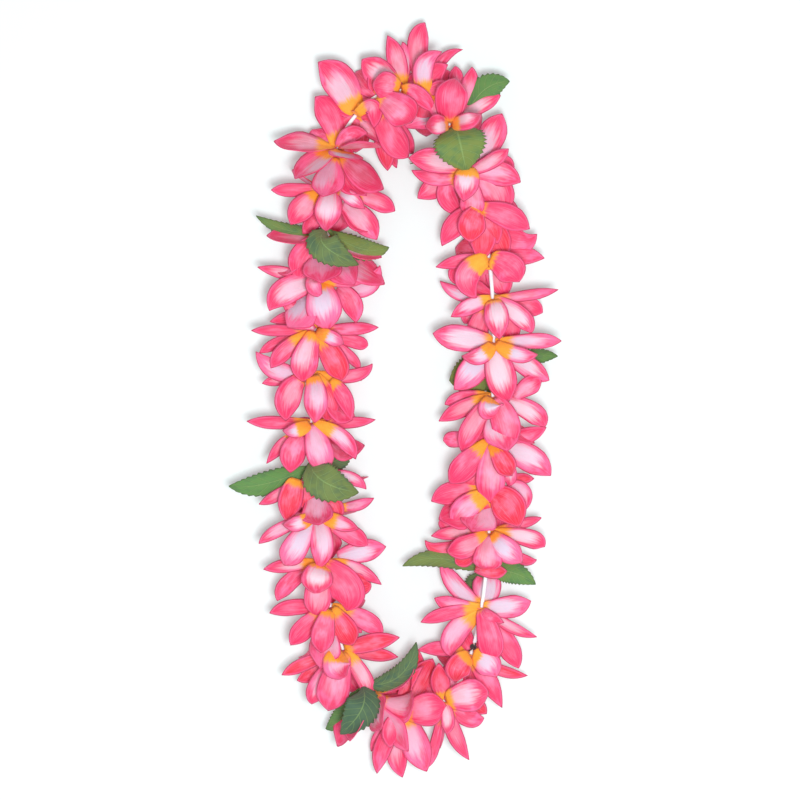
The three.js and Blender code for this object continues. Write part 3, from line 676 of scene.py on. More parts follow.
def clothInputs(tree, cloth):
    # what a blade's attributes say, and its patterns, each as wide and as long in mm as the cloth's settings give
    place = addNode(tree, "Attribute", {}, out="Vector", attribute_name="petalPlace")
    tone = addNode(tree, "Attribute", {}, out="Color", attribute_name="petalTone")
    aside, along, fromEdge = addNode(tree, "SeparateXYZ", {0: place}).node.outputs  # -1 to 1, 0 to 1, mm
    tones = addNode(tree, "SeparateColor", {0: tone}).node.outputs
    found = {"place": place, "aside": aside, "along": along, "fromEdge": fromEdge}
    found.update(pale=tones[0], leaning=tones[1], seed=tones[2], last=tone.node.outputs["Alpha"])
    shift = addNode(tree, "Math", {0: tones[2], 1: 37.0}, operation="MULTIPLY")
    apart = addNode(tree, "CombineXYZ", {2: shift})  # no two blades show the same stretch of a pattern
    for pattern, (wide, long, detail) in cloth["patterns"].items():
        scale = (cloth["halfWidth"] / wide, cloth["length"] / long, 0.0)
        at = addNode(tree, "VectorMath", {0: place, 1: scale, 2: apart}, operation="MULTIPLY_ADD")
        found[pattern] = addNode(tree, "TexNoise", {"Vector": at, "Scale": 1.0, "Detail": detail, "Roughness": 0.55})
    return found


def layOver(tree, colour, layers):
    # lays colours over one another, each by its share
    for share, over in layers:
        colour = addNode(tree, "Mix", {0: share, 6: colour, 7: over}, out=2, data_type="RGBA")
    return colour


petalPrint = {
    "halfWidth": 12.0,
    "length": 38.0,
    "patterns": {  # width, length and detail
        "streak": (1.7, 17.0, 3.0),
        "blot": (9.0, 12.0, 2.0),
        "fine": (0.5, 16.0, 2.0),
        "crease": (1.0, 25.0, 2.0),
        "thread": (0.6, 0.6, 0.0),  # a real weave is 0.1 mm: drawn coarser, so that it shows
    },
    "dyes": {
        "pink": "#F4699A",
        "deep": "#E53466",
        # red: partly the print's own reds, partly painted shade, the deep red of petals that lie in shade or under
        # others
        "red": "#DD2A40",
        "soft": "#F59ABA",
        "white": "#CBC6DA",
        "blush": "#E2CBD6",
        "orange": "#FF942E",
        "gold": "#FFB442",
        "edge": "#C01E4C",
        "back": "#F95F92",
    },
}


def petalMaterial(name, back):
    # printed polyester satin: brushed dye that fades from a dark rim to a bare middle, an orange throat,
    # a low silky gloss along the pressed veins and a little light coming through
    made, tree = newMaterial(name)
    dye = {tint: linear(hexText) for tint, hexText in petalPrint["dyes"].items()}
    cloth = clothInputs(tree, petalPrint)
    smooth = {"interpolation_type": "SMOOTHSTEP"}
    # how much dye a place took: pale petals less, tips more, no two petals alike
    taken = addNode(tree, "Math", {0: cloth["pale"], 1: -0.3, 2: cloth["blot"]}, operation="MULTIPLY_ADD")
    taken = addNode(tree, "Math", {0: cloth["seed"], 1: 0.3, 2: taken}, operation="MULTIPLY_ADD")
    taken = addNode(tree, "Math", {0: cloth["along"], 1: 0.15, 2: taken}, operation="MULTIPLY_ADD")
    deep = addNode(tree, "MapRange", {"Value": taken, "From Min": 0.385, "From Max": 0.685}, **smooth)
    # petals given a paleness below 0 turn red: partly the print's own reds, partly painted shade on petals in shade
    # or under others
    redPrintAndShade = addNode(tree, "MapRange", {"Value": cloth["pale"], "From Min": -0.1, "From Max": -0.4}, **smooth)
    uneven = {"Value": cloth["blot"], "From Min": 0.3, "From Max": 0.6, "To Min": 0.35, "To Max": 0.9}
    uneven = addNode(tree, "MapRange", uneven, **smooth)
    redPrintAndShade = addNode(tree, "Math", {0: redPrintAndShade, 1: uneven}, operation="MULTIPLY")
    # fine brush streaks, lighter and darker than the dye
    lighter = {"Value": cloth["fine"], "From Min": 0.45, "From Max": 0.75, "To Max": 0.4}
    lighter = addNode(tree, "MapRange", lighter, **smooth)
    darker = {"Value": cloth["fine"], "From Min": 0.48, "From Max": 0.25, "To Max": 0.25}
    darker = addNode(tree, "MapRange", darker, **smooth)
    # the bare middle, with a streaked border, lies where the petal's own lean puts it
    leaned = addNode(tree, "Math", {0: cloth["leaning"], 1: 0.8, 2: -0.4}, operation="MULTIPLY_ADD")
    middleAt = addNode(tree, "CombineXYZ", {0: leaned, 1: 0.36})
    away = addNode(tree, "VectorMath", {0: cloth["place"], 1: middleAt}, operation="SUBTRACT")
    away = addNode(tree, "VectorMath", {0: away, 1: (1 / 0.8, 1 / 0.42, 0.0)}, operation="MULTIPLY")
    away = addNode(tree, "VectorMath", {0: away}, out="Value", operation="LENGTH")
    away = addNode(tree, "Math", {0: away, 1: cloth["streak"]}, operation="ADD")
    away = addNode(tree, "Math", {0: cloth["fine"], 1: 0.35, 2: away}, operation="MULTIPLY_ADD")
    middle = addNode(tree, "MapRange", {"Value": away, "From Min": 1.825, "From Max": 1.125}, **smooth)
    softened = {"Value": cloth["blot"], "From Min": 0.35, "From Max": 0.65, "To Min": 0.4, "To Max": 0.05}
    softened = addNode(tree, "MapRange", softened, **smooth)
    softened = addNode(tree, "Math", {0: middle, 1: softened}, operation="MULTIPLY")
    bare = addNode(tree, "MapRange", {"Value": cloth["pale"], "To Max": 0.35 if back else 1.0}, **smooth)
    bare = addNode(tree, "Math", {0: middle, 1: bare}, operation="MULTIPLY")
    white = layOver(tree, dye["white"], [(cloth["seed"], dye["blush"])])
    # the rim, where the hot cutter sealed the cloth and the dye ran dark
    rim = {"Value": cloth["fromEdge"], "From Min": 2.0, "From Max": 0.7, "To Max": 0.75}
    rim = addNode(tree, "MapRange", rim, **smooth)
    sealed = addNode(tree, "MapRange", {"Value": cloth["fromEdge"], "From Min": 1.0, "From Max": 0.3}, **smooth)
    broken = {"Value": cloth["blot"], "From Min": 0.3, "From Max": 0.6, "To Min": 0.3, "To Max": 0.75}
    broken = addNode(tree, "MapRange", broken, **smooth)
    line = addNode(tree, "Math", {0: sealed, 1: broken}, operation="MULTIPLY")
    # the throat is printed on the face only, as far as the petal's tone says
    reached = addNode(tree, "Math", {0: cloth["streak"], 1: 0.2, 2: cloth["along"]}, operation="MULTIPLY_ADD")
    reached = addNode(tree, "Math", {0: reached, 1: cloth["last"]}, operation="SUBTRACT")
    throat = {"Value": reached, "From Min": 0.13, "From Max": 0.01, "To Max": 0.0 if back else 1.0}
    throat = addNode(tree, "MapRange", throat, **smooth)
    gold = layOver(tree, dye["orange"], [(cloth["blot"], dye["gold"])])
    colour = layOver(tree, dye["back" if back else "pink"], [
        (deep, dye["deep"]), (redPrintAndShade, dye["red"]), (lighter, dye["soft"]), (darker, dye["deep"]),
        (softened, dye["soft"]), (bare, white), (rim, dye["pink"]), (line, dye["edge"]), (throat, gold),
    ])
    lift = addNode(tree, "Math", {0: cloth["thread"], 1: 0.2, 2: cloth["crease"]}, operation="MULTIPLY_ADD")
    finishMaterial(tree, {
        "Base Color": colour,
        "Roughness": addNode(tree, "Math", {0: cloth["crease"], 1: 0.15, 2: 0.55}, operation="MULTIPLY_ADD"),
        "Normal": addNode(tree, "Bump", {"Height": lift, "Strength": 0.5, "Distance": 0.9 * mm}),
        "Specular IOR Level": 0.3,
        "Sheen Weight": 0.12,
        "Sheen Roughness": 0.4,
        "Sheen Tint": linear("#FFEAF2"),
        "Subsurface Weight": 0.2,
        "Subsurface Radius": (1.0, 0.45, 0.55),
        "Subsurface Scale": 1.2 * mm,
    })
    return made


leafPrint = {
    "halfWidth": 16.0,
    "length": 45.0,
    "patterns": {
        "mottle": (10.0, 9.4, 3.0),
        "weave": (0.64, 0.64, 0.0),  # drawn coarser than it is, so that it shows
    },
    "veinGap": 6.0,
    # lit is the green of a fully lit leaf; dark is mixed over it both for the mottle's darker patches and as painted
    # shade
    "lit": "#5A8646",
    "olive": "#748440",
    "dark": "#44604A",
    "vein": "#8BAA68",
    "edge": "#4A5A30",
}


def leafMaterial():
    # hot-pressed polyester leaf cloth: flat mottled green with a paler rib, side veins that stand out a little
    # and a darker pinked edge, nearly without gloss; a leaf that is less lit gets painted shade, a darker green all
    # over
    made, tree = newMaterial("moulded leaf cloth")
    cloth = clothInputs(tree, leafPrint)
    smooth = {"interpolation_type": "SMOOTHSTEP"}
    sideways = addNode(tree, "Math", {0: cloth["aside"]}, operation="ABSOLUTE")
    forwards = addNode(tree, "Math", {0: sideways, 1: -0.22, 2: cloth["along"]}, operation="MULTIPLY_ADD")
    veinAt = {0: forwards, 1: leafPrint["length"] / leafPrint["veinGap"], 2: 0.5}
    veinAt = addNode(tree, "Math", veinAt, operation="MULTIPLY_ADD")
    veinOff = addNode(tree, "Math", {0: veinAt, 1: 0.5}, operation="PINGPONG")
    vein = addNode(tree, "MapRange", {"Value": veinOff, "From Min": 0.07, "From Max": 0.02}, **smooth)
    rib = addNode(tree, "MapRange", {"Value": sideways, "From Min": 0.06, "From Max": 0.02}, **smooth)
    lines = addNode(tree, "Math", {0: vein, 1: rib}, operation="MAXIMUM")
    olive = addNode(tree, "Math", {0: cloth["mottle"], 1: cloth["pale"]}, operation="ADD")
    olive = addNode(tree, "MapRange", {"Value": olive, "From Min": 0.55, "From Max": 1.25}, **smooth)
    # dark: the mottle's darker patches, plus painted shade as far as the leaf's lit (the tone's last channel) falls
    # short of 1
    dark = {"Value": cloth["mottle"], "From Min": 0.55, "From Max": 0.3, "To Min": 1.0, "To Max": 1.4}
    dark = addNode(tree, "MapRange", dark, **smooth)
    dark = addNode(tree, "Math", {0: dark, 1: cloth["last"]}, operation="SUBTRACT")
    paler = addNode(tree, "Math", {0: lines, 1: 0.4}, operation="MULTIPLY")
    cut = {"Value": cloth["fromEdge"], "From Min": 0.9, "From Max": 0.3, "To Max": 0.5}
    cut = addNode(tree, "MapRange", cut, **smooth)
    colour = layOver(tree, linear(leafPrint["lit"]), [
        (olive, linear(leafPrint["olive"])), (dark, linear(leafPrint["dark"])),
        (paler, linear(leafPrint["vein"])), (cut, linear(leafPrint["edge"])),
    ])
    lift = addNode(tree, "Math", {0: cloth["weave"], 1: 0.2}, operation="MULTIPLY")
    lift = addNode(tree, "Math", {0: lift, 1: lines}, operation="SUBTRACT")
    finishMaterial(tree, {
        "Base Color": colour,
        "Roughness": 0.7,
        "Normal": addNode(tree, "Bump", {"Height": lift, "Strength": 0.6, "Distance": 0.6 * mm}),
        "Specular IOR Level": 0.3,
        "Sheen Weight": 0.1,
    })
    return made


def sleeveMaterial():
    # extruded white polythene: waxy and milky, with a soft gloss and clouds some 4 mm wide where it cooled unevenly
    made, tree = newMaterial("extruded white polythene")
    where = addNode(tree, "TexCoord", {}, out="Object")
    cloud = addNode(tree, "TexNoise", {"Vector": where, "Scale": 1 / (4.2 * mm), "Detail": 2.0})
    finishMaterial(tree, {
        "Base Color": layOver(tree, linear("#F7F4F6"), [(cloud, linear("#E3DEE6"))]),
        "Roughness": 0.35,
        "Normal": addNode(tree, "Bump", {"Height": cloud, "Strength": 0.2, "Distance": 0.1 * mm}),
        "IOR": 1.51,
        "Subsurface Weight": 0.2,
        "Subsurface Scale": 2 * mm,
    })
    return made


def fibreMaterial(name, light, dark, rough):
    # twisted thread: slanting strands 0.5 mm apart, the light colour a painted highlight along each strand over the
    # dark one, with a bump as well; a wave's bands are 0.36 apart
    made, tree = newMaterial(name)
    where = addNode(tree, "TexCoord", {}, out="Object")
    strands = {"Vector": where, "Scale": 0.36 / (0.5 * mm), "Distortion": 3.0, "Detail": 1.0}
    strands = addNode(tree, "TexWave", strands, out="Fac", bands_direction="DIAGONAL")
    finishMaterial(tree, {
        # the light bands are painted highlight on the strands
        "Base Color": layOver(tree, linear(dark), [(strands, linear(light))]),
        "Roughness": rough,
        "Normal": addNode(tree, "Bump", {"Height": strands, "Strength": 0.5, "Distance": 0.2 * mm}),
        "Sheen Weight": 0.2,
    })
    return made


petalFace = petalMaterial("printed petal satin", False)
petalBack = petalMaterial("printed petal satin back", True)
leafCloth = leafMaterial()
polythene = sleeveMaterial()
# each thread's first colour is painted highlight on its strands, the second the thread between them
cordFibre = fibreMaterial("twisted cotton cord", "#EDE7DF", "#CFC6BA", 0.85)
knotFibre = fibreMaterial("dark bonded thread", "#3A2226", "#160C10", 0.6)
print("materials made")

bladePlan = {
    "root": 2.6,  # where a blade leaves the eyelet
    "longest": 56.0,
    "hanging": 24.0,  # the longest that hangs down
    "searched": (-45, 45, 181),  # along the string, for the place nearest to a tip
    "clear": 0.4,  # of a strung blade above the surface
    "laidClear": 0.8,
    "tipEdge": 0.6,  # how fast the rim comes near towards the tip
    "waves": 9.0,
    "rise": 1.5,  # how much higher or lower a laid blade's middle is than its row says
    "dip": 1.25,
    "drop": 0.55,  # what is left of a raised blade's height at its tip
    "takeOff": (2.2, 7.0),  # the height at which a raised blade leaves the eyelet
    "lowTakeOff": -2.4,
    # a tucked blade's pale below 0 paints it partly red: the print's own reds, and painted shade for lying under the
    # others
    "tucked": {"out": 23.0, "via": 13.0, "half": 9.5, "high": -6.0, "end": -23.0, "pale": -0.3},
}
eyeletPlan = {"sides": 20, "bore": 1.7, "radius": 4.2}
followed = np.arange(bladePlan["root"], 70.0, 0.5)


def towardsTip(sheet, tip, length, faceDown):
    # the direction and the slope that bring a blade's tip over a point seen from above
    spot = np.array(tip) + np.array(stringPlan["shift"])
    own = sheet["place"] * sheet["way"]
    places = own + np.linspace(*bladePlan["searched"])
    nearest = places[np.linalg.norm(alongString(stringPoints, places) - spot, axis=1).argmin()]
    tangent = alongString(stringTangents, nearest)
    offset = spot - alongString(stringPoints, nearest)
    along = (nearest - own) * sheet["way"]
    across = float(offset @ np.array([tangent[1], -tangent[0]]))
    distance = max(math.sqrt(max(length**2 - along**2, (0.5 * length) ** 2)), abs(across) + 0.5)
    shrink = min(1.0, bladePlan["longest"] / math.hypot(distance, along))
    distance, along, across = distance * shrink, along * shrink, across * shrink
    if faceDown:
        distance = min(distance, math.hypot(across, bladePlan["hanging"]))
    angle = math.asin(across / distance)
    angle = math.pi - angle if faceDown else angle
    slope = (along - sheet["start"]) * (distance + layerPlan["flatMiddle"]) / distance**2
    return angle, slope, max(length * shrink, math.hypot(distance, along)) - bladePlan["root"]


def rowsAlong(sheet, angle, shares, length, extra):
    # distances from the string at which a blade has grown to each share of its length
    across, height = np.sin(angle) * followed, np.cos(angle) * followed
    place = sheetPlace(sheet, across, height, droopOf(extra, followed))
    grown = np.concatenate([[0], np.cumsum(np.hypot(np.diff(followed), np.diff(place)))])
    usable = height > 0.5 - stringPlan["height"]
    usable &= 1 + bendAt(sheet["place"] * sheet["way"]) * across > 1 - stringPlan["steepestBend"]
    last = grown[np.argmin(usable) - 1] if not usable.all() else grown[-1]
    length = min(length, last)
    return np.interp(shares * length, grown, followed), length


def flatSheet(bm, grid):
    # a flat sheet to be bent into a blade: u runs across it from -1 to 1 and v along it from 0 to 1
    made = bmesh.ops.create_grid(bm, x_segments=grid[0], y_segments=grid[1], size=1.0)["verts"]
    return made, np.array([vert.co.x for vert in made]), np.array([vert.co.y for vert in made]) / 2 + 0.5


def settle(bm, layers, made, points, marks, tone, facing):
    # puts a sheet's corners in place, marks them for the print and turns the printed side the way it faces
    for vert, point, mark in zip(made, points, marks):
        vert.co = point
        vert[layers["place"]] = mark
        vert[layers["tone"]] = tone
    face = made[len(made) // 2].link_faces[0]
    face.normal_update()
    if face.normal.dot(facing) < 0:
        bmesh.ops.reverse_faces(bm, faces=list({face for vert in made for face in vert.link_faces}))


def addStrungBlade(bm, layers, sheet, shape):
    # a blade that spreads from the string in one direction and droops as its layer does
    made, u, v = flatSheet(bm, shape["grid"])
    sine, cosine = math.sin(shape["angle"]), math.cos(shape["angle"])
    extra = 0.0
    if shape["slope"] is not None:
        extra = shape["slope"] - float(slopeAt(sheet["look"], cosine, sine))
    rows, length = rowsAlong(sheet, shape["angle"], v, shape["length"], extra)
    half = np.minimum(shape["outline"](v, u) * shape["halfWidth"], rows * shape["widening"])
    sideways = u * half + shape["hook"] * np.maximum(v - 0.75, 0) ** 2 * 16
    across = sine * rows + cosine * sideways
    height = cosine * rows - sine * sideways
    lowest = bladePlan["clear"] - stringPlan["height"]
    low = height < lowest
    across = np.where(low, across * lowest / np.minimum(height, -1e-3), across)
    height = np.where(low, lowest, height)
    wide = half / shape["halfWidth"]  # 1 at the widest row
    cup = shape["cup"] * (u * u - 0.35) * wide**1.5
    wave = shape["wave"] * np.sin(v * bladePlan["waves"] + shape["seed"] * 40) * np.abs(u) ** 2 * wide
    curl = shape["curl"] * v**3
    rolled = shape["roll"] * (height - cosine * rows)  # the side that is turned up leans forwards
    lift = wave - cup - curl + rolled + shape["skew"] * u * wide + droopOf(extra, rows)
    place = sheetPlace(sheet, across, height, lift)
    points = fromString(place * sheet["way"], across, height)
    edge = np.minimum((1 - np.abs(u)) * half, (1 - v) * length * bladePlan["tipEdge"])
    middle = len(made) // 2
    behind = fromString((place[middle] + 1) * sheet["way"], across[middle], height[middle])
    settle(bm, layers, made, points, np.stack([u, v, edge], 1), shape["tone"], Vector(points[middle] - behind))


def throughThree(start, middle, end, v):
    # a parabola that passes its middle point halfway
    start, middle, end = (np.asarray(point, float) for point in (start, middle, end))
    pull = 2 * middle - (start + end) / 2
    v = np.asarray(v)[:, None] if start.ndim else np.asarray(v)
    return start * (1 - v) ** 2 + pull * 2 * v * (1 - v) + end * v**2


def addLaidBlade(bm, layers, sheet, blade, shape):
    # a blade that lies across the others, face up: it arches from the throat over a middle point to its tip
    made, u, v = flatSheet(bm, shape["grid"])
    shift = np.array(stringPlan["shift"])
    throat = alongString(stringPoints, sheet["place"] * sheet["way"])
    start = np.array(blade["start"]) + shift if "start" in blade else throat
    tip, via = np.array(blade["tip"]) + shift, np.array(blade["via"]) + shift
    start = start + (via - start) / max(np.linalg.norm(via - start), 1.0)
    line = throughThree(start, via, tip, v)
    ahead = throughThree(start, via, tip, v + 0.01) - line
    ahead /= np.linalg.norm(ahead, axis=1)[:, None]
    aside = np.stack([ahead[:, 1], -ahead[:, 0]], 1)
    high = blade["high"] * bladePlan["rise" if blade["high"] > 0 else "dip"]
    end = blade.get("end", high * (bladePlan["drop"] if high > 0 else shape["fall"]))
    takeOff = float(np.clip(high * 0.5, *bladePlan["takeOff"])) if high >= 0 else max(high, bladePlan["lowTakeOff"])
    length = np.linalg.norm(via - start) + np.linalg.norm(tip - via) + abs(high)
    half = np.minimum(shape["outline"](v, u) * blade["half"], (v * length + 3.0) * 1.1)
    wide = half / blade["half"]
    cup = shape["cup"] * (u * u - 0.3) * wide
    wave = shape["wave"] * np.sin(v * bladePlan["waves"] + shape["seed"] * 40) * u * u * wide
    rise = throughThree(takeOff, high, end, v) + shape["roll"] * u * half - cup + wave
    flat = line + aside * (u * half)[:, None]
    points = np.column_stack([flat, np.maximum(rise + stringPlan["height"], bladePlan["laidClear"])]) * mm
    edge = np.minimum((1 - np.abs(u)) * half, (1 - v) * length * bladePlan["tipEdge"])
    settle(bm, layers, made, points, np.stack([u, v, edge], 1), shape["tone"], Vector((0, 0, 1)))


def tuckedBlade(sheet, number):
    # a blade that is tucked in below the others hangs down to the surface
    plan = bladePlan["tucked"]
    throat = alongString(stringPoints, sheet["place"] * sheet["way"]) - np.array(stringPlan["shift"])
    turn = number * 1.9 + (0.9 if sheet["kind"] == "lower" else 0.0)
    out = np.array([math.cos(turn), math.sin(turn)])
    tip, via = throat + out * plan["out"], throat + out * plan["via"]
    return laid(tip, via, plan["half"], plan["high"], plan["pale"], throat=0.0, end=plan["end"])


def addEyelet(bm, layers, sheet, tone):
    # the pierced middle that joins the blades of one cloth layer: a ring, widened and then bent as the layer is
    inner = bmesh.ops.create_circle(bm, segments=eyeletPlan["sides"], radius=eyeletPlan["bore"])["verts"]
    rim = list({edge for vert in inner for edge in vert.link_edges})
    grown = bmesh.ops.extrude_edge_only(bm, edges=rim)["geom"]
    outer = [item for item in grown if isinstance(item, bmesh.types.BMVert)]
    bmesh.ops.scale(bm, verts=outer, vec=[eyeletPlan["radius"] / eyeletPlan["bore"]] * 3)
    made = inner + outer
    across, height = np.array([vert.co.xy for vert in made]).T
    radius = np.hypot(across, height)
    lift = droopOf(slopeAt(sheet["look"], height / radius, across / radius), radius)
    own = sheet["place"] * sheet["way"]
    points = fromString(own + (sheet["start"] + lift) * sheet["way"], across, height)
    facing = Vector(fromString(own + 1, 0, 0) - fromString(own, 0, 0))
    settle(bm, layers, made, points, [(0.0, 0.0, 9.0)] * len(made), tone, facing)


def newCloth():
    bm = bmesh.new()
    place = bm.verts.layers.float_vector.new("petalPlace")
    return bm, {"place": place, "tone": bm.verts.layers.float_color.new("petalTone")}


def finishPiece(bm, name, materials, node, thickness=0.0):
    mesh = bpy.data.meshes.new(name)
    bm.to_mesh(mesh)
    bm.free()
    mesh.shade_smooth()
    for material in materials:
        mesh.materials.append(material)
    piece = bpy.data.objects.new(name, mesh)
    bpy.context.scene.collection.objects.link(piece)
    if thickness:
        wall = piece.modifiers.new("cloth thickness", "SOLIDIFY")
        wall.thickness = thickness * mm
        wall.offset = 0.0
        wall.material_offset = len(materials) - 1
        wall.material_offset_rim = len(materials) - 1
    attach(piece, "root")
    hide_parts(node)


petalPlan = {
    "grid": (10, 18),  # faces across and along
    "upper": {
        "count": 6, "first": 90,  # petals, and degrees from upright to the first of them
        "under": (1, 2), "onEdge": (0, 3),  # the ones that hang face down, and those seen from the side
        "paler": {4: 0.35, 5: 0.35, 3: 0.1}, "throat": 0.32,
    },
    "lower": {
        "count": 5, "first": 108,
        "under": (1,), "onEdge": (),
        "paler": {4: 0.1, 3: 0.1}, "throat": 0.14,
    },
    "lessPale": -0.15,
    "reach": 37.5,
    "reachSpread": 0.1,
    "halfWidth": 12.2,
    "widening": 1.05,
    "wander": 5.0,  # degrees
    "cup": 2.6,
    "curl": (-1.5, 3.0),
    "wave": 0.5,
    "skew": 1.2,
    "roll": (0.0, 0.35),
    "edgeRoll": 0.18,
    "fall": 1.6,  # how far the tip of a lowered petal hangs, for each mm that its middle is low
    "laidTone": 0.8,
    "laidThroat": 0.26,
    "thickness": 0.5,
}
# half widths along a petal: a strung one has a narrow foot, a laid one a broad foot
outlineAt = [0, 0.1, 0.25, 0.4, 0.55, 0.68, 0.8, 0.89, 0.95, 1.0]
narrowFoot = [0.28, 0.4, 0.72, 0.93, 1.0, 0.93, 0.72, 0.45, 0.24, 0.03]
broadFoot = [0.52, 0.66, 0.86, 0.97, 1.0, 0.93, 0.71, 0.45, 0.23, 0.02]


def strungHalf(v, u):
    return np.interp(v, outlineAt, narrowFoot)


def laidHalf(peak):
    # no two petals are widest at the same place
    return lambda v, u: np.interp(v**peak, outlineAt, broadFoot)


def makeBloom(upper, lower, seed):
    draw = np.random.default_rng(seed)
    bm, layers = newCloth()
    stop = upper["stop"]
    for sheet in (upper, lower):
        layer = petalPlan[sheet["kind"]]
        tips = stop.get(sheet["kind"] + "Tips", {})
        rows = stop.get("laid" + sheet["kind"].title(), {})
        addEyelet(bm, layers, sheet, (0.0, 0.5, 0.5, layer["throat"]))
        for petal in range(layer["count"]):
            wander, long, wide, curl, lean, tint, rolled = draw.random(7)
            if petal in rows or "tucked" in stop:
                blade = rows.get(petal) or tuckedBlade(sheet, petal)
                leaning = blade.get("lean", 0.3 + 0.4 * lean)
                addLaidBlade(bm, layers, sheet, blade, {
                    "grid": petalPlan["grid"],
                    "outline": laidHalf(0.8 + 0.5 * curl),
                    "fall": petalPlan["fall"],
                    "cup": 1.6 + wide,
                    "wave": petalPlan["wave"],
                    "roll": (lean - 0.5) * 0.3,
                    "seed": tint,
                    "tone": (
                        blade["pale"] * petalPlan["laidTone"], leaning, draw.random(),
                        blade.get("throat", petalPlan["laidThroat"]),
                    ),
                })
                continue
            turn = 360 / layer["count"] * petal + petalPlan["wander"] * (wander - 0.5)
            angle, slope = math.radians(layer["first"] + stop["turn"] + turn), None
            length = petalPlan["reach"] * (1 + petalPlan["reachSpread"] * (long - 0.5))
            if petal in tips:
                hanging = petal in layer["under"]
                angle, slope, length = towardsTip(sheet, tips[petal], length + bladePlan["root"], hanging)
            roll = np.interp(rolled, (0, 1), petalPlan["roll"])
            roll -= petalPlan["edgeRoll"] if petal in layer["onEdge"] else 0.0
            pale = stop["pale"] + (tint - 0.5) * 0.5 + layer["paler"].get(petal, petalPlan["lessPale"])
            addStrungBlade(bm, layers, sheet, {
                "grid": petalPlan["grid"],
                "angle": angle,
                "slope": slope,
                "length": length,
                "halfWidth": petalPlan["halfWidth"] * (0.9 + 0.2 * wide),
                "widening": petalPlan["widening"],
                "outline": strungHalf,
                "hook": (lean - 0.5) * 2.5,
                "cup": petalPlan["cup"] * (0.6 + 0.6 * wide),
                "curl": np.interp(curl, (0, 1), petalPlan["curl"]),
                "wave": petalPlan["wave"],
                "skew": petalPlan["skew"],
                "roll": roll * abs(math.sin(angle)),
                "seed": tint,
                "tone": (np.clip(pale, 0, 1), lean, draw.random(), layer["throat"]),
            })
    cloths = [petalFace, petalBack]
    finishPiece(bm, upper["node"] + "_cloth", cloths, upper["node"], petalPlan["thickness"])


leafPlan = {
    "grid": (12, 52),
    "halfWidth": 16.0,
    "widening": 1.2,
    "teeth": 13,
    "toothDepth": 0.1,
    "cup": 2.4,
    "wave": 0.9,
    "skew": 1.8,
    "roll": 0.2,
    "laidRoll": 0.1,
    "fall": 0.55,
    # lit: how lit the hidden leaf is painted; below 1 it gets painted shade
    "lit": 0.8,
    "thickness": 0.55,
}
leafOutlineAt = [0, 0.06, 0.16, 0.3, 0.45, 0.6, 0.75, 0.87, 0.95, 1.0]
leafOutline = [0.1, 0.22, 0.62, 0.93, 1.0, 0.95, 0.75, 0.48, 0.22, 0.02]


def leafHalf(v, u):
    # the rim's own corners stand in and out as the pinking shears cut them
    tooth = np.mod(v * leafPlan["teeth"], 1.0)
    saw = np.where(np.abs(u) > 0.999, tooth - 0.5, 0.0) * leafPlan["toothDepth"] * 2
    return np.interp(v, leafOutlineAt, leafOutline) * (1 + saw)


def makeWhorl(sheet, seed):
    draw = np.random.default_rng(seed)
    bm, layers = newCloth()
    rows = sheet["stop"]["laidLeaves"]
    # the eyelet's last tone, 0.6, gives it some painted shade
    addEyelet(bm, layers, sheet, (0.5, 0.5, 0.5, 0.6))
    for leaf in range(3):
        curl, tint, hook = draw.random(3)
        shape = {"outline": leafHalf, "seed": tint, **{part: leafPlan[part] for part in ("grid", "cup", "wave")}}
        if leaf in rows:
            # a row's lit sets how much painted shade darkens its leaf
            tone = (rows[leaf]["pale"], 0.5, draw.random(), rows[leaf]["lit"])
            laidShape = {**shape, "fall": leafPlan["fall"], "roll": leafPlan["laidRoll"], "tone": tone}
            addLaidBlade(bm, layers, sheet, rows[leaf], laidShape)
            continue
        degrees, reach = sheet["stop"]["hiddenLeaf"]
        addStrungBlade(bm, layers, sheet, {
            **shape,
            "angle": math.radians(degrees),
            "slope": None,
            "length": reach,
            "halfWidth": leafPlan["halfWidth"],
            "widening": leafPlan["widening"],
            "hook": (hook - 0.5) * 3,
            "curl": curl * 2 - 0.5,
            "skew": leafPlan["skew"],
            "roll": leafPlan["roll"],
            "tone": (tint * 0.8, 0.5, draw.random(), leafPlan["lit"]),
        })
    finishPiece(bm, sheet["node"] + "_cloth", [leafCloth], sheet["node"], leafPlan["thickness"])


for number, sheet in enumerate(leftSheets + rightSheets, 401):
    if sheet["kind"] == "upper":
        makeBloom(sheet, sheet["next"], number)
    elif sheet["kind"] == "leaves":
        makeWhorl(sheet, number)
print("blooms and leaves made")

sleevePlan = {
    "pieces": 16,
    "bore": 0.75,
    "radius": 1.25,
    "chamfer": 0.12,
    "gap": 0.3,
    "knotRoom": 2.8,  # from the knot's middle to the end of a sleeve
    "knotAhead": 4.9,  # of the right side's last throat
    "sides": 14,
    "step": 3.0,
}
knotPlace = -rightSheets[-1]["place"] + sleevePlan["knotAhead"]


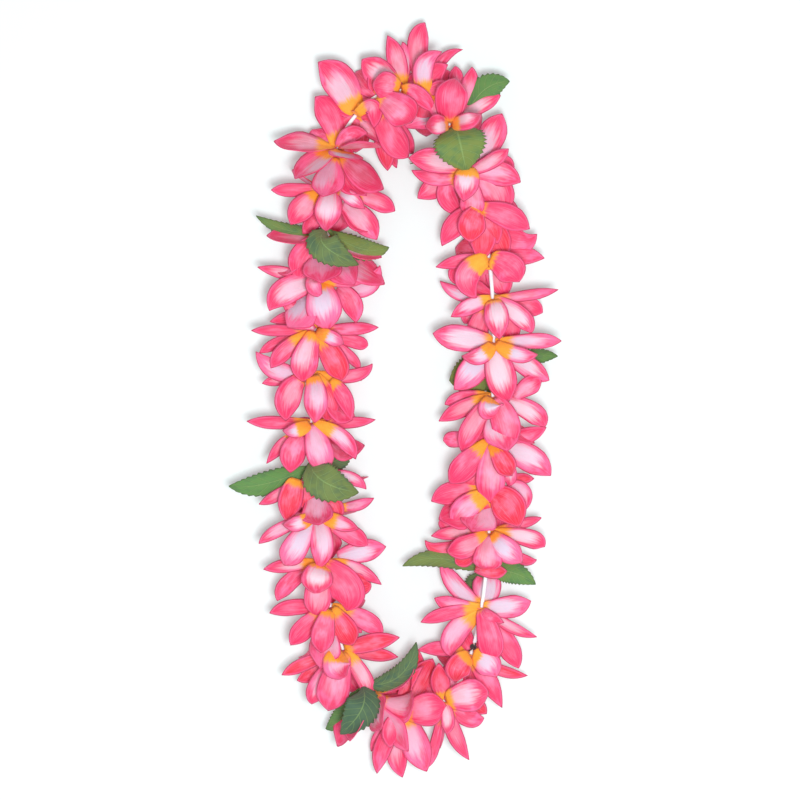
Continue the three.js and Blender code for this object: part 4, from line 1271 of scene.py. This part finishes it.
def makeSleeve(name, start, end):
    # a straight tube: the wall's section spun round, its outer rims chamfered, and then bent along the string
    bm = bmesh.new()
    bore, radius = sleevePlan["bore"], sleevePlan["radius"]
    wall = ((start, 0, radius), (end, 0, radius), (end, 0, bore), (start, 0, bore))
    corners = [bm.verts.new(corner) for corner in wall]
    edges = [bm.edges.new((corners[i - 1], corners[i])) for i in range(4)]
    cuts = int((end - start) / sleevePlan["step"]) - 1
    bmesh.ops.subdivide_edges(bm, edges=[edges[1], edges[3]], cuts=cuts)
    section = bm.verts[:] + bm.edges[:]
    bmesh.ops.spin(bm, geom=section, axis=(1, 0, 0), angle=math.tau, steps=sleevePlan["sides"], use_merge=True)
    outer = {vert for vert in bm.verts if vert.co.yz.length > radius - 0.01}
    last = {vert for vert in outer if min(vert.co.x - start, end - vert.co.x) < 0.01}
    rims = [edge for edge in bm.edges if last.issuperset(edge.verts)]
    bmesh.ops.bevel(
        bm, geom=rims, offset=sleevePlan["chamfer"], affect="EDGES", segments=1, profile=0.5, material=-1,
    )
    bmesh.ops.recalc_face_normals(bm, faces=bm.faces[:])
    for vert in bm.verts:
        vert.co = fromString(*vert.co)
    bmesh.ops.reverse_faces(bm, faces=bm.faces[:])  # the string's directions are a mirror image of x, y and z
    finishPiece(bm, name + "_tube", [polythene], name)


pitch = stringLength / sleevePlan["pieces"]
for i in range(sleevePlan["pieces"]):
    first = sleevePlan["knotRoom"] if i == 0 else sleevePlan["gap"] / 2
    last = sleevePlan["knotRoom"] if i == sleevePlan["pieces"] - 1 else sleevePlan["gap"] / 2
    makeSleeve(f"sleeve_{i + 1:02d}", knotPlace + i * pitch + first, knotPlace + (i + 1) * pitch - last)
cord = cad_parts["cord"]
cord.data.materials.clear()
cord.data.materials.append(cordFibre)
print("sleeves and cord finished")

knotPlan = {
    "thread": 0.62,
    "looseEnd": 0.434,  # radius
    "tapered": 0.75,  # share of the radius that is left at a thread's end
    "coil": 1.35,  # radius of the wraps round the cord
    "wraps": 3.0,
    "length": 2.6,
    "rows": 90,
    "looser": 1.12,  # the wraps that go back lie over the others
    "sides": 10,
    "ends": [
        [(1.0, 0.6, 2.6), (2.2, 0.9, 4.2), (3.0, 0.5, 5.0)],
        [(-1.0, -0.6, 2.6), (-2.4, -1.4, 3.8), (-3.2, -2.6, 4.6)],
    ],
}


def addThread(bm, spots, radius):
    # a round rod, cut across once for each spot and bent through them; the spots are in the string's own directions
    ends = bmesh.ops.create_cone(
        bm, cap_ends=True, segments=knotPlan["sides"], radius1=radius, radius2=radius, depth=1.0,
    )["verts"]
    lengthwise = {edge for vert in ends for edge in vert.link_edges if edge.verts[0].co.z * edge.verts[1].co.z < 0}
    cut = bmesh.ops.subdivide_edges(bm, edges=list(lengthwise), cuts=len(spots) - 2)["geom_inner"]
    # the cut leaves the first vertices' names void, so the whole rod is found again from its new ones
    new = [item for item in cut if isinstance(item, bmesh.types.BMVert)]
    rod = {vert for cutVert in new for edge in cutVert.link_edges for vert in edge.verts}
    points = fromString(knotPlace + spots[:, 0], spots[:, 1], spots[:, 2]) / mm
    ahead = np.gradient(points, axis=0)
    ahead /= np.linalg.norm(ahead, axis=1)[:, None]
    side = np.cross(ahead, (0.3, 0.2, 1.0))
    side /= np.linalg.norm(side, axis=1)[:, None]
    up = np.cross(side, ahead)
    for vert in rod:
        i = round((vert.co.z + 0.5) * (len(spots) - 1))
        thick = knotPlan["tapered"] if i in (0, len(spots) - 1) else 1.0
        vert.co = (points[i] + thick * (side[i] * vert.co.y + up[i] * vert.co.x)) * mm


def makeKnot():
    bm = bmesh.new()
    t = np.linspace(0, 1, knotPlan["rows"])
    turns = t * knotPlan["wraps"] * math.tau
    swell = knotPlan["coil"] * (0.7 + 0.5 * np.sin(t * math.pi))
    onwards = np.stack([(t - 0.5) * knotPlan["length"], swell * np.sin(turns), swell * np.cos(turns)], 1)
    back = np.stack([(0.5 - t) * knotPlan["length"], -swell * np.sin(turns + 1), swell * np.cos(turns + 1)], 1)
    addThread(bm, onwards, knotPlan["thread"])
    addThread(bm, back * (1.0, knotPlan["looser"], knotPlan["looser"]), knotPlan["thread"])
    for end in knotPlan["ends"]:
        addThread(bm, throughThree(*end, np.linspace(0, 1, 12)), knotPlan["looseEnd"])
    finishPiece(bm, "knot_thread", [knotFibre], "knot")


makeKnot()
print("knot made")

studioPlan = {
    "middle": (0.0016, 0.0026, 0.034),
    "frameWidth": 0.528,  # what the picture shows at that height
    "distance": 2.6,
    "sensor": 36.0,
    "keyPower": 24.0,
    "keyFrom": (0.13, -0.18, 1.7),
    "keySize": 0.34,
    "world": 0.62,
    "floorSize": 3.0,
    "floorColour": "#D0DBDB",
    "floorGlow": 0.17,
}


def makeStudio():
    floor = bmesh.new()
    bmesh.ops.create_grid(floor, x_segments=1, y_segments=1, size=studioPlan["floorSize"])
    mesh = bpy.data.meshes.new("floor")
    floor.to_mesh(mesh)
    floor.free()
    ground = bpy.data.objects.new("floor", mesh)
    bpy.context.scene.collection.objects.link(ground)
    # a matt acrylic light table: it glows a little, so that the shadows stay close and grey
    made, tree = newMaterial("light table")
    finishMaterial(tree, {
        "Base Color": linear(studioPlan["floorColour"]),
        "Roughness": 0.9,
        "Specular IOR Level": 0.1,
        "Emission Color": (1, 1, 1, 1),
        "Emission Strength": studioPlan["floorGlow"],
    })
    mesh.materials.append(made)
    key = bpy.data.lights.new("key", "AREA")
    key.energy = studioPlan["keyPower"]
    key.size = studioPlan["keySize"]
    lamp = bpy.data.objects.new("key", key)
    lamp.location = studioPlan["keyFrom"]
    lamp.rotation_euler = (-lamp.location).to_track_quat("-Z", "Y").to_euler()
    bpy.context.scene.collection.objects.link(lamp)
    world = bpy.data.worlds.new("softRoom")
    world.use_nodes = True
    world.node_tree.nodes["Background"].inputs[0].default_value = (1, 1, 1, 1)
    world.node_tree.nodes["Background"].inputs[1].default_value = studioPlan["world"]
    bpy.context.scene.world = world
    camera = bpy.data.cameras.new("camera")
    camera.sensor_width = studioPlan["sensor"]
    camera.lens = studioPlan["sensor"] * studioPlan["distance"] / studioPlan["frameWidth"]
    camera.clip_end = 20.0
    eye = bpy.data.objects.new("camera", camera)
    eye.location = Vector(studioPlan["middle"]) + Vector((0, 0, studioPlan["distance"]))
    bpy.context.scene.collection.objects.link(eye)
    bpy.context.scene.camera = eye
    bpy.context.scene.view_settings.view_transform = "Standard"


makeStudio()
print("studio made")
